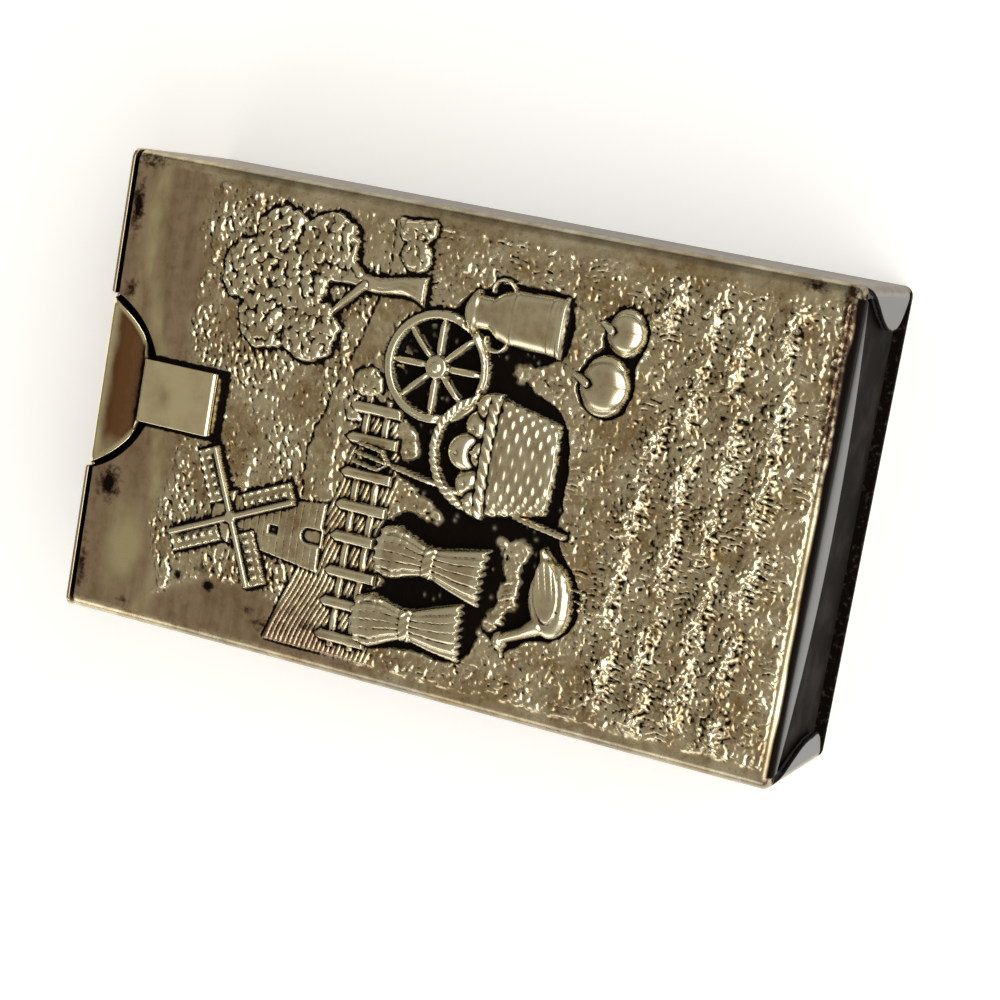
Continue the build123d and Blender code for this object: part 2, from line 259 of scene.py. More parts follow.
def windmill(field, u, v):
    """Tapered stone tower with a domed cap and four lattice sails."""
    height, base, top = 8.0, 5.6, 3.6
    x, y = local(u, v, MILL)
    half = base / 2 + (top - base) / 2 * np.clip(y / height, 0, 1)
    tower = upright(x, y, half, height)
    stone = LOW * (0.55 + 0.45 * bulge(x / half))
    course = y / 0.62
    joint = x / half * 4 + np.floor(course) * 0.5
    stone -= 0.07 * ramp(0.7, 1.0, np.abs(course % 1 - 0.5) * 2)
    stone -= 0.04 * ramp(0.8, 1.0, np.abs(joint % 1 - 0.5) * 2)
    field = lay(field, tower, stone, groove=0.14)
    door = upright(x, y, 0.62, 1.7)
    door = np.where(y > 1.1, np.hypot(x, y - 1.1) - 0.62, door)
    window = bar(x + 0.2, y - 4.2, 0.35, 0.42)
    for opening in (door, window):
        field = lay(field, opening - 0.15, LOW * 1.05, edge=0.05)
        field = lay(field, opening, LOW * 0.48, edge=0.05)
    cap = np.maximum(ellipse(u, v, (MILL[0], MILL[1] + height - 0.1), 2.15, 2.0), height - y)
    ribs = 0.04 * np.abs(np.sin(x * 9))
    field = lay(field, cap, LOW * (0.7 + 0.5 * rounded(cap, 1.2)) - ribs, groove=0.1)
    hub = (MILL[0], MILL[1] + height)
    for k in range(4):
        x, y = local(u, v, hub, 24 + 90 * k)
        blade = bar(x - 3.625, y - 0.8, 2.175, 0.8)
        bars = np.minimum(np.abs((x - 1.45) / 0.725 % 1 - 0.5) * 0.725, np.abs(y / 0.8 % 1 - 0.5) * 0.8)
        lattice = MIDDLE - 0.24 * ramp(0.28, 0.14, bars)
        field = lay(field, blade, lattice, edge=0.06, groove=0.12, reach=0.25)
        stock = bar(x - 2.9, y, 2.9, 0.22)
        field = lay(field, stock, MIDDLE + 0.06 * rounded(stock, 0.2), edge=0.06)
    boss = np.hypot(u - hub[0], v - hub[1]) - 0.5
    return lay(field, boss, MIDDLE + 0.12 * rounded(boss, 0.5), edge=0.05)


def leaves(u, v, size, seed):
    """Small overlapping domes of uneven size, each with a vein."""

    def leaf(x, y, r, q):
        """Oval dome, turned at random, with a line along its middle."""
        a, b = turned(x, y, (q - 0.5) * 2.6)
        dome = np.sqrt(np.clip(1 - (a / 0.62) ** 2 - (b / 0.4) ** 2, 0, 1))
        return dome * (0.55 + 0.45 * r) - 0.12 * ridge(b, 0.07) * (dome > 0)

    near = scatter(u / size, v / size, 0.95, 0.9, seed, leaf, 1.3)
    return np.maximum(near, 0.75 * scatter(u / size + 0.5, v / size + 0.4, 0.9, 0.95, seed + 1, leaf, 1.3))


def tree(field, u, v):
    """Waisted trunk with two boughs under a crown of leafy tufts."""
    x, y = local(u, v, TREE)
    x = x - 0.18 * np.sin(y * 1.1)
    half = 0.62 + 0.58 * np.exp(-np.clip(y, 0, 20) / 1.1) + 0.15 * ramp(5, 9, y)
    trunk = upright(x, y, half, 9.5)
    bark = MIDDLE * (0.5 + 0.5 * bulge(x / half))
    furrow = np.abs(np.sin(x / half * 6 + 0.8 * np.sin(y * 2.3)))
    bark -= 0.09 * furrow * (0.6 + 0.4 * cloudy(u, v, 0.5, 31))
    field = lay(field, trunk, bark, groove=0.15)
    for start, end, radius in (((11.9, 8.2), (8.8, 11.2), 0.38), ((12.6, 8.8), (15.1, 11.4), 0.34)):
        bough = limb(u, v, start, end, radius, 0.2)
        field = lay(field, bough, MIDDLE * (0.45 + 0.4 * rounded(bough, 0.3)), groove=0.08)
    ragged = 0.4 * cloudy(u, v, 0.9, 41)
    leaf = leaves(u, v, 0.75, 51)
    for cu, cv in CROWN:
        reach = np.hypot(u - cu, v - cv)
        tuft = 0.15 + 0.42 * bulge(reach / 2.9) + 0.3 * leaf
        field = lay(field, reach - 2.5 + ragged, tuft, edge=0.1, groove=0.12, reach=0.4)
    return field


def fence(field, u, v):
    """Two rails behind a row of pointed pales."""
    length, height, count = 20.0, 4.2, 8
    x, y = local(u, v, FENCE)
    for side in (-1, 1):
        rail = bar(x, y - side * 0.85, length / 2, 0.28)
        grain = 0.03 * np.sin(v * 17 + u)
        field = lay(field, rail, LOW * 0.8 + 0.06 * rounded(rail, 0.28) - grain, groove=0.12)
    for k in range(count):
        across = x - (k / (count - 1) - 0.5) * (length - 1.6) - 0.1 * math.sin(k * 2.4)
        point = y + np.abs(across) * 1.2 - height / 2 - 0.2
        pale = np.maximum(np.abs(across) - 0.42, np.maximum(-y - height / 2, point))
        grain = 0.03 * np.sin(across * 16 + 0.4 * y)
        field = lay(field, pale, LOW * 0.95 + 0.08 * rounded(pale, 0.3) - grain, groove=0.14)
    return field


def sheaf(field, u, v, foot, turn):
    """Bundle of straw with a twisted band round its waist and ears at its top."""
    height, width = 8.6, 4.6
    x, y = local(u, v, foot, turn)
    t = np.clip(y / height, 0, 1)
    half = width / 2 * np.interp(t, (0, 0.25, 0.5, 0.62, 0.86, 1.0), (1.0, 0.78, 0.5, 0.62, 0.95, 0.8))
    crown = 0.5 * np.cos(np.clip(x / (width / 2), -1, 1) * 1.4) - 0.3 * np.abs(np.sin(x * 4.1))
    outline = np.maximum(np.abs(x) - half, np.maximum(-y - 0.3 * np.abs(np.sin(x * 5)), y - height - crown))
    across = x / half
    straw = np.abs(np.sin(across * 9.0 + 0.6 * np.sin(y * 0.8) + 0.5 * cloudy(u, v, 1.5, 63)))
    body = HIGH * (0.42 + 0.58 * bulge(across)) - 0.17 * (1 - straw) ** 1.5
    ear = scatter(x, y, 0.5, 0.62, 61, lambda a, b, r, q: np.exp(-((a / 0.2) ** 2) - (b / 0.3) ** 2), 0.5)
    field = lay(field, outline, body + 0.18 * ear * ramp(0.68, 0.8, t), groove=0.25, reach=0.4)
    band = bar(x, y - height * 0.5, half * 1.08, 0.42)
    swell = 0.5 + 0.5 * bulge(across / 1.12)
    return lay(field, band, HIGH * swell + 0.09 * np.sin((x * 1.3 + y) * 8), edge=0.06, groove=0.1)


def cart_wheel(field, u, v):
    """Rim with a tyre line, eight swelling spokes and a stepped hub."""
    radius, rim = 4.4, 0.75
    for k in range(8):
        x, y = local(u, v, WHEEL, 45 * k)
        swell = 0.2 + 0.09 * np.sin(np.clip(x / radius, 0, 1) * math.pi)
        spoke = bar(x - 2.1, y, 2.1, swell)
        field = lay(field, spoke, MIDDLE * (0.72 + 0.25 * rounded(spoke, 0.25)), edge=0.06, groove=0.22)
    reach = np.hypot(u - WHEEL[0], v - WHEEL[1])
    ring = np.abs(reach - radius + rim / 2) - rim / 2
    tyre = MIDDLE * (0.8 + 0.3 * rounded(ring, 0.3)) - 0.1 * ridge(reach - radius + 0.26, 0.06)
    field = lay(field, ring, tyre, edge=0.06, groove=0.22)
    field = lay(field, reach - 0.95, MIDDLE * (0.9 + 0.35 * rounded(reach - 0.95, 0.6)), groove=0.1)
    return lay(field, reach - 0.4, MIDDLE * 1.25 + 0.12 * rounded(reach - 0.4, 0.3), groove=0.06)


def apple(field, u, v, centre, radius, height):
    """Dome with a dimple and a short stalk."""
    reach = np.hypot(u - centre[0], v - centre[1])
    dome = height * (0.3 + 0.7 * bulge(reach / radius))
    dimple = (centre[0] - 0.15, centre[1] + radius * 0.42)
    dome -= 0.26 * ridge(np.hypot(u - dimple[0], v - dimple[1]), 0.26)
    field = lay(field, reach - radius, dome, groove=0.2)
    stalk = limb(u, v, dimple, (dimple[0] + 0.27, dimple[1] + 0.55), 0.11, 0.08)
    return lay(field, stalk, height * 0.9, edge=0.05)


def basket(field, u, v):
    """Woven basket with a corded handle and a plaited rim, heaped with apples."""
    height, width, foot = 5.6, 9.4, 7.0
    x, y = local(u, v, BASKET)
    reach = np.hypot(x, y - height)
    handle = np.abs(reach - width / 2 + 0.35) - 0.38
    cord = 0.07 * np.sin(np.arctan2(y - height, x) * 46 + reach * 9)
    field = lay(field, handle, MIDDLE * (0.75 + 0.3 * rounded(handle, 0.35)) + cord, groove=0.25)
    for across, up, radius, share in APPLES:
        field = apple(field, u, v, (BASKET[0] + across, BASKET[1] + up), radius, HIGH * share)
    half = foot / 2 + (width - foot) / 2 * np.clip(y / height, 0, 1) ** 0.8
    across = np.clip(x / half, -1, 1)
    side = np.maximum(np.abs(x) - half, np.maximum(-y - 0.25 * (1 - across**2), y - height))
    row = y / 0.5
    stake = np.arcsin(across) * 4.2
    weave = np.sin(row * math.pi) ** 2 * (0.35 + 0.65 * np.cos((stake + np.floor(row)) * math.pi))
    wicker = HIGH * (0.3 + 0.64 * np.sqrt(1 - across**2)) + 0.13 * weave - 0.04
    field = lay(field, side, wicker, groove=0.28, reach=0.4)
    rim = bar(x, y - height + 0.15, width / 2 + 0.25, 0.45)
    swell = bulge(x / (width / 2 + 0.3))
    plait = HIGH * (0.45 + 0.5 * swell) - 0.25 * (1 - rounded(rim, 0.4)) + 0.08 * np.sin((x * 0.9 - y) * 7)
    return lay(field, rim, plait, edge=0.06, groove=0.12)


def churn(field, u, v):
    """Turned milk churn with hoops, a narrow neck, a lid and two handles."""
    height, width = 8.2, 4.8
    x, y = local(u, v, CHURN)
    t = np.clip(y / height, 0, 1)
    for side in (-1, 1):
        handle = np.abs(np.hypot(x - side * 1.9, y - height * 0.66) - 0.85) - 0.17
        handle = np.maximum(handle, 1.6 - side * x)
        field = lay(field, handle, MIDDLE * (0.8 + 0.25 * rounded(handle, 0.17)), edge=0.06, groove=0.2)
    levels = (0, 0.03, 0.06, 0.55, 0.66, 0.74, 0.86, 0.89, 0.93, 0.97, 1.0)
    halves = (1.0, 1.02, 0.96, 0.9, 0.78, 0.56, 0.56, 0.72, 0.72, 0.5, 0.2)
    half = width / 2 * np.interp(t, levels, halves)
    outline = upright(x, y, half, height)
    body = HIGH * (0.16 + 0.84 * bulge(x / half)) * (0.78 + 0.44 * half / width)
    for level in (0.04, 0.13, 0.5, 0.9):
        body = body + 0.05 * ridge(y - level * height, 0.12) - 0.05 * ridge(y - level * height - 0.22, 0.06)
    return lay(field, outline, body, groove=0.28, reach=0.4)


def goose(field, u, v):
    """Standing goose with a scaled breast, a folded wing, a raised neck and two legs."""
    x, y = local(u, v, GOOSE)
    for a in (0.4, 1.2):
        ankle = (a - 0.1, -2.5)
        shin = limb(x, y, (a, -1.4), ankle, 0.13, 0.1)
        foot = limb(x, y, ankle, (a - 0.7, -2.65), 0.13, 0.08)
        field = lay(field, np.minimum(shin, foot), MIDDLE * 0.8, edge=0.06, groove=0.12)
    bill = limb(x, y, (-4.5, 3.45), (-5.2, 3.2), 0.26, 0.12)
    field = lay(field, bill, MIDDLE * (0.7 + 0.3 * rounded(bill, 0.2)), edge=0.06, groove=0.18)
    outline = np.minimum(ellipse(x, y, (0, 0), 3.0, 1.8, 8), ellipse(x, y, (-4.0, 3.6), 0.75, 0.58, 20))
    for ends_and_radii in GOOSE_LIMBS:
        outline = np.minimum(outline, limb(x, y, *ends_and_radii))
    scale = scatter(x, y * 1.1, 0.62, 0.5, 71, lambda a, b, r, q: bulge(np.hypot(a / 0.42, b / 0.36)), 0.25)
    swell = HIGH * (0.25 + 0.72 * rounded(outline, 1.5)) + 0.1 * scale * ramp(-1.9, -0.6, x)
    field = lay(field, outline, swell, groove=0.28, reach=0.4)
    wing = ellipse(x, y, (0.7, 0.35), 2.4, 1.0, 12)
    quill = (1 - np.abs(np.sin((y - 0.25 * x) * 6.0))) ** 2 * ramp(-0.5, 1.2, x)
    feather = 0.06 * scale * ramp(1.0, -0.4, x) - 0.12 * quill
    field = lay(field, wing, HIGH * 0.9 + 0.1 * rounded(wing, 0.8) + feather, groove=0.16, reach=0.22)
    return lay(field, np.hypot(x + 4.1, y - 3.72) - 0.1, HIGH * 0.6, edge=0.04)


def pumpkin(field, u, v, centre, radius):
    """Ribbed flattened ball with a stalk."""
    x, y = (u - centre[0]) / radius, (v - centre[1]) / (radius * 0.82)
    reach = np.hypot(x, y)
    meridian = np.arcsin(np.clip(x / np.sqrt(np.clip(1.02 - y * y, 0.05, 2)), -1, 1))
    rib = np.abs(np.sin(meridian * 3.5))
    outline = (reach - 0.96 - 0.04 * rib) * radius * 0.82
    ball = HIGH * (0.25 + 0.75 * bulge(reach)) - 0.16 * (1 - rib) ** 1.6
    field = lay(field, outline, ball, groove=0.28, reach=0.4)
    foot = (centre[0], centre[1] + radius * 0.55)
    stalk = limb(u, v, foot, (foot[0] + 0.5, foot[1] + radius * 0.43), 0.28, 0.18)
    return lay(field, stalk, HIGH * 0.9 + 0.12 * rounded(stalk, 0.2), edge=0.06, groove=0.14)


def hay_fork(field, u, v):
    """Long handle with three tines."""
    start, end = (-3.8, -11.6), (-1.4, 3.6)
    handle = limb(u, v, start, end, 0.24, 0.2)
    field = lay(field, handle, HIGH * (0.7 + 0.22 * rounded(handle, 0.22)), edge=0.06, groove=0.3)
    turn = math.degrees(math.atan2(end[1] - start[1], end[0] - start[0])) - 90
    x, y = local(u, v, end, turn)
    for k in (-1, 0, 1):
        tine = bar(x - k * 0.75 * ramp(-0.1, 0.9, y), y - 1.5, 0.15, 1.5)
        field = lay(field, tine, HIGH * (0.68 + 0.2 * rounded(tine, 0.15)), edge=0.05, groove=0.2)
    return field


def worm(x, y, r, q, most=1.1):
    """Short wavy bump along the picture's width, turned at random within a range of most radians."""
    a, b = turned(x, y, (q - 0.35) * most)
    b = b + 0.06 * np.sin(a * 5 + r * 6)
    return (0.5 + 0.5 * r) * np.exp(-((a / (0.3 + 0.25 * q)) ** 4) - (b / 0.15) ** 2)


def bead(x, y, r, q):
    """Small round grain."""
    return (0.4 + 0.6 * r) * np.exp(-(x**2 + y**2) / (0.1 + 0.07 * q) ** 2)


def lump(x, y, r, q):
    """Round lump, wider than a grain."""
    return (0.3 + 0.7 * r) * ridge(np.hypot(x, y), 0.2)


def tuft(x, y, r, q):
    """Low tuft of grass, wider than high."""
    return (0.4 + 0.6 * r) * ridge(np.hypot(x / 1.3, y), 0.4)


def grit(u, v, seed):
    """Uneven punched ground: round grains, small lumps, and fine cloudy noise between them."""
    beads = scatter(u, v, 0.34, 0.31, seed, bead, 1.2)
    lumps = scatter(u, v, 0.62, 0.48, seed + 1, lump, 1.2)
    return 0.11 * beads + 0.13 * lumps + 0.035 * cloudy(u, v, 0.42, seed + 2)


def sky(u, v):
    """Chased grain that dies away on the smooth tab end and on a smooth patch at the picture's left."""
    patch = ramp(-0.45, 0.25, cloudy(u, v, 4.0, 5))
    coarse = scatter(u, v, 1.05, 0.5, 3, worm, 1.1)
    fine = scatter(u, v, 0.6, 0.38, 4, worm, 1.1)
    grain = (0.2 * coarse + 0.1 * fine) * (0.35 + 0.65 * patch) + 0.7 * grit(u, v, 6)
    drift = v + 1.2 * cloudy(u, v * 0.5, 5.0, 8)
    bank = ramp(0.6, 1.0, np.abs(drift / 3.1 % 1 - 0.5) * 2)
    grain += 0.18 * bank * ramp(-0.1, 0.4, cloudy(u * 0.6, v, 4.0, 9))
    wander = 1.3 * cloudy(u, v, 3.0, 12)
    smooth = ramp(22.4, 24.0, v + wander)
    left = np.hypot((u + 18.0) / 4.4, (v - 14.5) / 9.5) + 0.12 * wander
    smooth = np.maximum(smooth, ramp(1.08, 0.88, left))
    rolled = 0.02 * cloudy(u * 0.15, v, 0.8, 101) + 0.012 * cloudy(u, v, 0.6, 104)
    return grain * (1 - smooth) + rolled * smooth, smooth


# Banks of the meadow: middle across and up the picture, and length across, with their height.
# Bushes on the horizon: middle and radius
BANKS = (
    (-13.2, -16.3, 5.0), (-6.8, -15.9, 5.2), (-0.4, -16.5, 4.6), (4.8, -17.1, 3.6), (14.8, -16.6, 3.6),
    (-15.4, -19.5, 3.2), (-10.2, -19.1, 4.8), (-3.6, -19.6, 5.4), (2.8, -19.9, 4.4), (8.6, -19.2, 5.0),
    (14.6, -19.8, 4.2), (-13.4, -22.5, 4.6), (-7.0, -22.9, 5.0), (-0.8, -22.4, 4.6), (5.4, -22.8, 5.2),
    (11.6, -22.3, 4.8), (-15.2, -25.9, 3.4), (-10.0, -25.6, 4.8), (-4.0, -26.0, 4.6), (2.2, -25.7, 5.2),
    (8.4, -26.1, 4.6), (14.4, -25.8, 4.2),
)
BANK_HEIGHT = 0.42
BUSHES = ((17.0, 4.6, 1.6), (14.8, 4.3, 1.3), (4.4, 6.6, 1.3), (2.4, 7.2, 1.1))


def meadow(u, v):
    """Rows of grainy banks, with patches of short combed strokes and uneven tooled marks between them."""
    wander = 0.35 * cloudy(u, v, 1.8, 21)
    banks = np.zeros_like(u)
    for cu, cv, length in BANKS:
        along = (u - cu) / (length / 2)
        across = v - cv + wander + 0.25 * np.sin(along * 2.2)
        across = np.where(across < 0, across / 0.6, across)
        banks = np.maximum(banks, np.exp(-(across**2)) * np.exp(-(np.abs(along) ** 3)))
    banks = banks * (1.0 + 0.45 * cloudy(u, v, 1.3, 34))

    def comb(x, y, r, q):
        """Patch of short bowed strokes, side by side and of uneven depth."""
        bow = x + (0.25 + 0.4 * (q - 0.5)) * y * y + (q - 0.5) * 0.5 * y
        bow = bow / 0.42
        stroke = np.cos(bow * math.pi) ** 2 * (0.6 + 0.4 * np.sin(np.round(bow) * 2.4 + q * 6))
        return stroke * np.exp(-((x / (0.9 + 0.5 * r)) ** 6) - (y / (0.7 + 0.35 * q)) ** 4)

    combs = scatter(u, v + wander, 2.6, 1.75, 24, comb, 0.8)
    second = scatter(u + 1.2, v + wander, 3.1, 2.3, 28, comb, 1.0)
    patch = ramp(0.0, 0.35, cloudy(u, v, 3.4, 33))
    strokes = 0.19 * patch * np.maximum(combs, 0.85 * second) * (1 - 0.7 * banks)
    marks = scatter(u, v, 0.78, 0.5, 35, lambda x, y, r, q: worm(x, y, r, q, 3.0), 1.2)
    tufts = scatter(u, v, 1.5, 1.0, 36, tuft, 1.2)
    uneven = (0.12 * marks + 0.11 * tufts) * (1 - 0.6 * patch)
    return BANK_HEIGHT * banks + (0.6 + 1.5 * banks) * grit(u, v, 23) + uneven + strokes


def softened(field, pitch, width):
    """Field blurred by a bell curve, one axis after the other, as sums of shifted copies."""
    reach = math.ceil(2.5 * width / pitch)
    weights = ridge(np.arange(-reach, reach + 1) * pitch, width * math.sqrt(2))
    for axis in (0, 1):
        padded = np.pad(field, [(reach, reach) if a == axis else (0, 0) for a in (0, 1)], mode="edge")
        total = np.zeros_like(field)
        for shift, weight in enumerate(weights / weights.sum()):
            total += weight * np.take(padded, np.arange(field.shape[axis]) + shift, axis)
        field = total
    return field


def dirt(x, y, r, q):
    """Lump left in one of four cells of the black ground."""
    return (r > 0.75) * ridge(np.hypot(x, y * (1 + q)), 0.16)


# Motifs of the middle group from the lowest to the highest, with what each needs besides the field
GROUP = (
    (cart_wheel, ()), (hay_fork, ()), (sheaf, (SHEAVES[0], 5)), (sheaf, (SHEAVES[1], -3)), (basket, ()),
    (churn, ()), (goose, ()), (pumpkin, (SMALL_PUMPKIN, 1.9)), (pumpkin, (PUMPKIN, 2.4)),
)


def picture(u, v, pitch):
    """Height of the relief over the flat sheet, with masks of its black ground and of its smooth parts.

    The ground lies deep and ragged round the middle of the group, and as a narrow groove round the rest.
    """
    field, smooth = sky(u, v)
    grain = field
    hill = v - 8.6 - 2.2 * np.sin(u * 0.17 + 2.2) - 0.25 * cloudy(u, v, 1.5, 14)
    field = lay(field, hill, 0.16 + 0.06 * rounded(hill, 3.0) + 0.6 * grain, edge=0.15, groove=0.08)
    slope = polygon(u, v, [(-17.4, 2.0), (-17.4, 12.3), (-14.0, 11.2), (-4.0, 7.6), (3.0, 6.6), (3.0, 2.0)])
    furrow = np.abs(np.sin((v + 0.36 * u + 0.12 * np.sin(u * 0.9)) / 0.42 * math.pi))
    field = lay(field, slope, 0.17 + 0.16 * furrow + 0.03 * cloudy(u, v, 0.5, 15), edge=0.12, groove=0.12)
    horizon = v - 3.4 - 0.5 * np.sin(u * 0.45) - 0.3 * cloudy(u, v, 1.2, 16)
    field = lay(field, horizon, 0.03 + meadow(u, v), edge=0.3)
    for cu, cv, radius in BUSHES:
        bush = np.hypot(u - cu, v - cv) - radius + 0.25 * cloudy(u, v, 0.7, 17)
        field = lay(field, bush, 0.2 + 0.25 * rounded(bush, 1.2) + 0.2 * leaves(u, v, 0.6, 18), groove=0.1)
    for motif in (windmill, fence, tree):
        field = motif(field, u, v)
    absent = -5.0
    group = np.full_like(u, absent)
    for motif, place in GROUP:
        group = motif(group, u, v, *place)
    inside = group > absent + 3.0
    # the ground is black in an oval round the middle, and elsewhere only close to the forms
    core = np.exp(-(np.hypot((u + 2.0) / 13.5, (v + 3.8) / 7.6) ** 6))
    level = 0.34 - 0.31 * core - 0.07 * cloudy(u, v, 0.9, 107) - 0.05 * cloudy(u, v, 2.4, 108)
    hollow = ramp(level, level + 0.07, softened(inside.astype(float), pitch, 1.05))
    lumps = scatter(u, v, 0.9, 0.8, 109, dirt, 1.2)
    field = field * (1 - 0.7 * hollow) - (0.28 - 0.2 * lumps) * hollow
    hollow = hollow * (1 - 0.25 * lumps)
    field = np.where(inside, np.maximum(group, -0.3), field)
    # the highest forms stay below the solids' top, and the relief dies away at the borders
    field = np.where(field > 1.1, 1.1 + 0.2 * np.tanh((field - 1.1) / 0.2), field)
    fade = ramp(17.8, 17.2, np.abs(u) + 0.25 * cloudy(u, v, 1.5, 27)) * ramp(-29.83, -29.6, v)
    return field * fade, hollow * ~inside, smooth


def grid_quads(rows, columns):
    """Corner numbers of the quads of a grid whose points are numbered row by row."""
    corner = (np.arange(rows - 1)[:, None] * columns + np.arange(columns - 1)).reshape(-1, 1)
    return corner + np.array([0, 1, columns + 1, columns])


def signed_volume(points, faces):
    """Six times the enclosed volume: the sum of the triple products of each face's fan."""
    total = 0.0
    for block in faces:
        a = points[block[:, 0]]
        for k in range(1, block.shape[1] - 1):
            total += np.einsum("ij,ij->", a, np.cross(points[block[:, k]], points[block[:, k + 1]]))
    return total


def make_piece(name, points, faces, body, slot, material, sharp_from=None, masks=()):
    """Mesh from points in millimetres and blocks of faces, riding on a body with a finish. The slot is not
    used.

    Blocks are counted from 0. The edges of block sharp_from and of all after it are sharp, and each
    mask becomes an attribute of the points that the material reads.
    """
    if signed_volume(points, faces) < 0:
        faces = [block[:, ::-1] for block in faces]
    mesh = bpy.data.meshes.new(name)
    mesh.vertices.add(len(points))
    mesh.vertices.foreach_set("co", (points * MM).astype(np.float32).ravel())
    corners = np.concatenate([block.ravel() for block in faces])
    sizes = np.concatenate([np.full(len(block), block.shape[1]) for block in faces])
    mesh.loops.add(len(corners))
    mesh.loops.foreach_set("vertex_index", corners.astype(np.int32))
    mesh.polygons.add(len(sizes))
    mesh.polygons.foreach_set("loop_start", np.concatenate([[0], np.cumsum(sizes)[:-1]]).astype(np.int32))
    mesh.polygons.foreach_set("use_smooth", np.ones(len(sizes), bool))
    mesh.update(calc_edges=True)
    if sharp_from is not None:
        first = sum(block.size for block in faces[:sharp_from])
        edges = np.zeros(len(corners), np.int32)
        mesh.loops.foreach_get("edge_index", edges)
        sharp = np.zeros(len(mesh.edges), bool)
        sharp[edges[first:]] = True
        mesh.attributes.new("sharp_edge", "BOOLEAN", "EDGE").data.foreach_set("value", sharp)
    for key, values in dict(masks).items():
        attribute = mesh.attributes.new(key, "FLOAT", "POINT")
        attribute.data.foreach_set("value", values.astype(np.float32))
    if mesh.validate():
        raise RuntimeError(f"{name} has faces that are not valid")
    piece = bpy.data.objects.new(name, mesh)
    bpy.context.scene.collection.objects.link(piece)
    mesh.materials.append(material)
    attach(piece, body)
    return piece


def add_node(tree, kind, inputs=(), out=0, **settings):
    """Adds a node, sets its properties, fills its inputs with values or links, and gives one output."""
    node = tree.nodes.new(kind)
    for name, value in settings.items():
        setattr(node, name, value)
    for key, value in dict(inputs).items():
        if isinstance(value, bpy.types.NodeSocket):
            tree.links.new(value, node.inputs[key])
        else:
            node.inputs[key].default_value = value
    return node.outputs[out] if node.outputs else node


def new_material(name):
    """Empty material with its node tree, and the object coordinates that its patterns follow."""
    material = bpy.data.materials.new(name)
    material.use_nodes = True
    tree = material.node_tree
    tree.nodes.clear()
    return material, tree, add_node(tree, "ShaderNodeTexCoord", out="Object")


def clouds(tree, place, size, low, high, stretch=(1.0, 1.0, 1.0), detail=5.0):
    """Pattern of clouds of one size in millimetres: noise levels between low and high run from 0 to 1."""
    placed = add_node(tree, "ShaderNodeMapping", {"Vector": place, "Scale": stretch})
    grain = {"Vector": placed, "Scale": 1 / (size * MM), "Detail": detail, "Roughness": 0.6}
    noise = add_node(tree, "ShaderNodeTexNoise", grain)
    levels = {"Value": noise, "From Min": low, "From Max": high}
    return add_node(tree, "ShaderNodeMapRange", levels, interpolation_type="SMOOTHSTEP")


def metal_with_oxide(tree, base, black, oxide, bright_rough, dull_rough):
    """Metal that turns into dull oxide with the share of black, linked to the material's output."""
    colour = add_node(tree, "ShaderNodeMix", {0: black, 6: base, 7: oxide}, 2, data_type="RGBA")
    finish = {"Base Color": colour}
    for key, bright, dull in (
        ("Metallic", 1.0, 0.0), ("Roughness", bright_rough, dull_rough), ("Specular IOR Level", 0.5, 0.02)
    ):
        ends = {"Value": black, "To Min": bright, "To Max": dull}
        finish[key] = add_node(tree, "ShaderNodeMapRange", ends)
    shader = add_node(tree, "ShaderNodeBsdfPrincipled", finish)
    add_node(tree, "ShaderNodeOutputMaterial", {"Surface": shader})


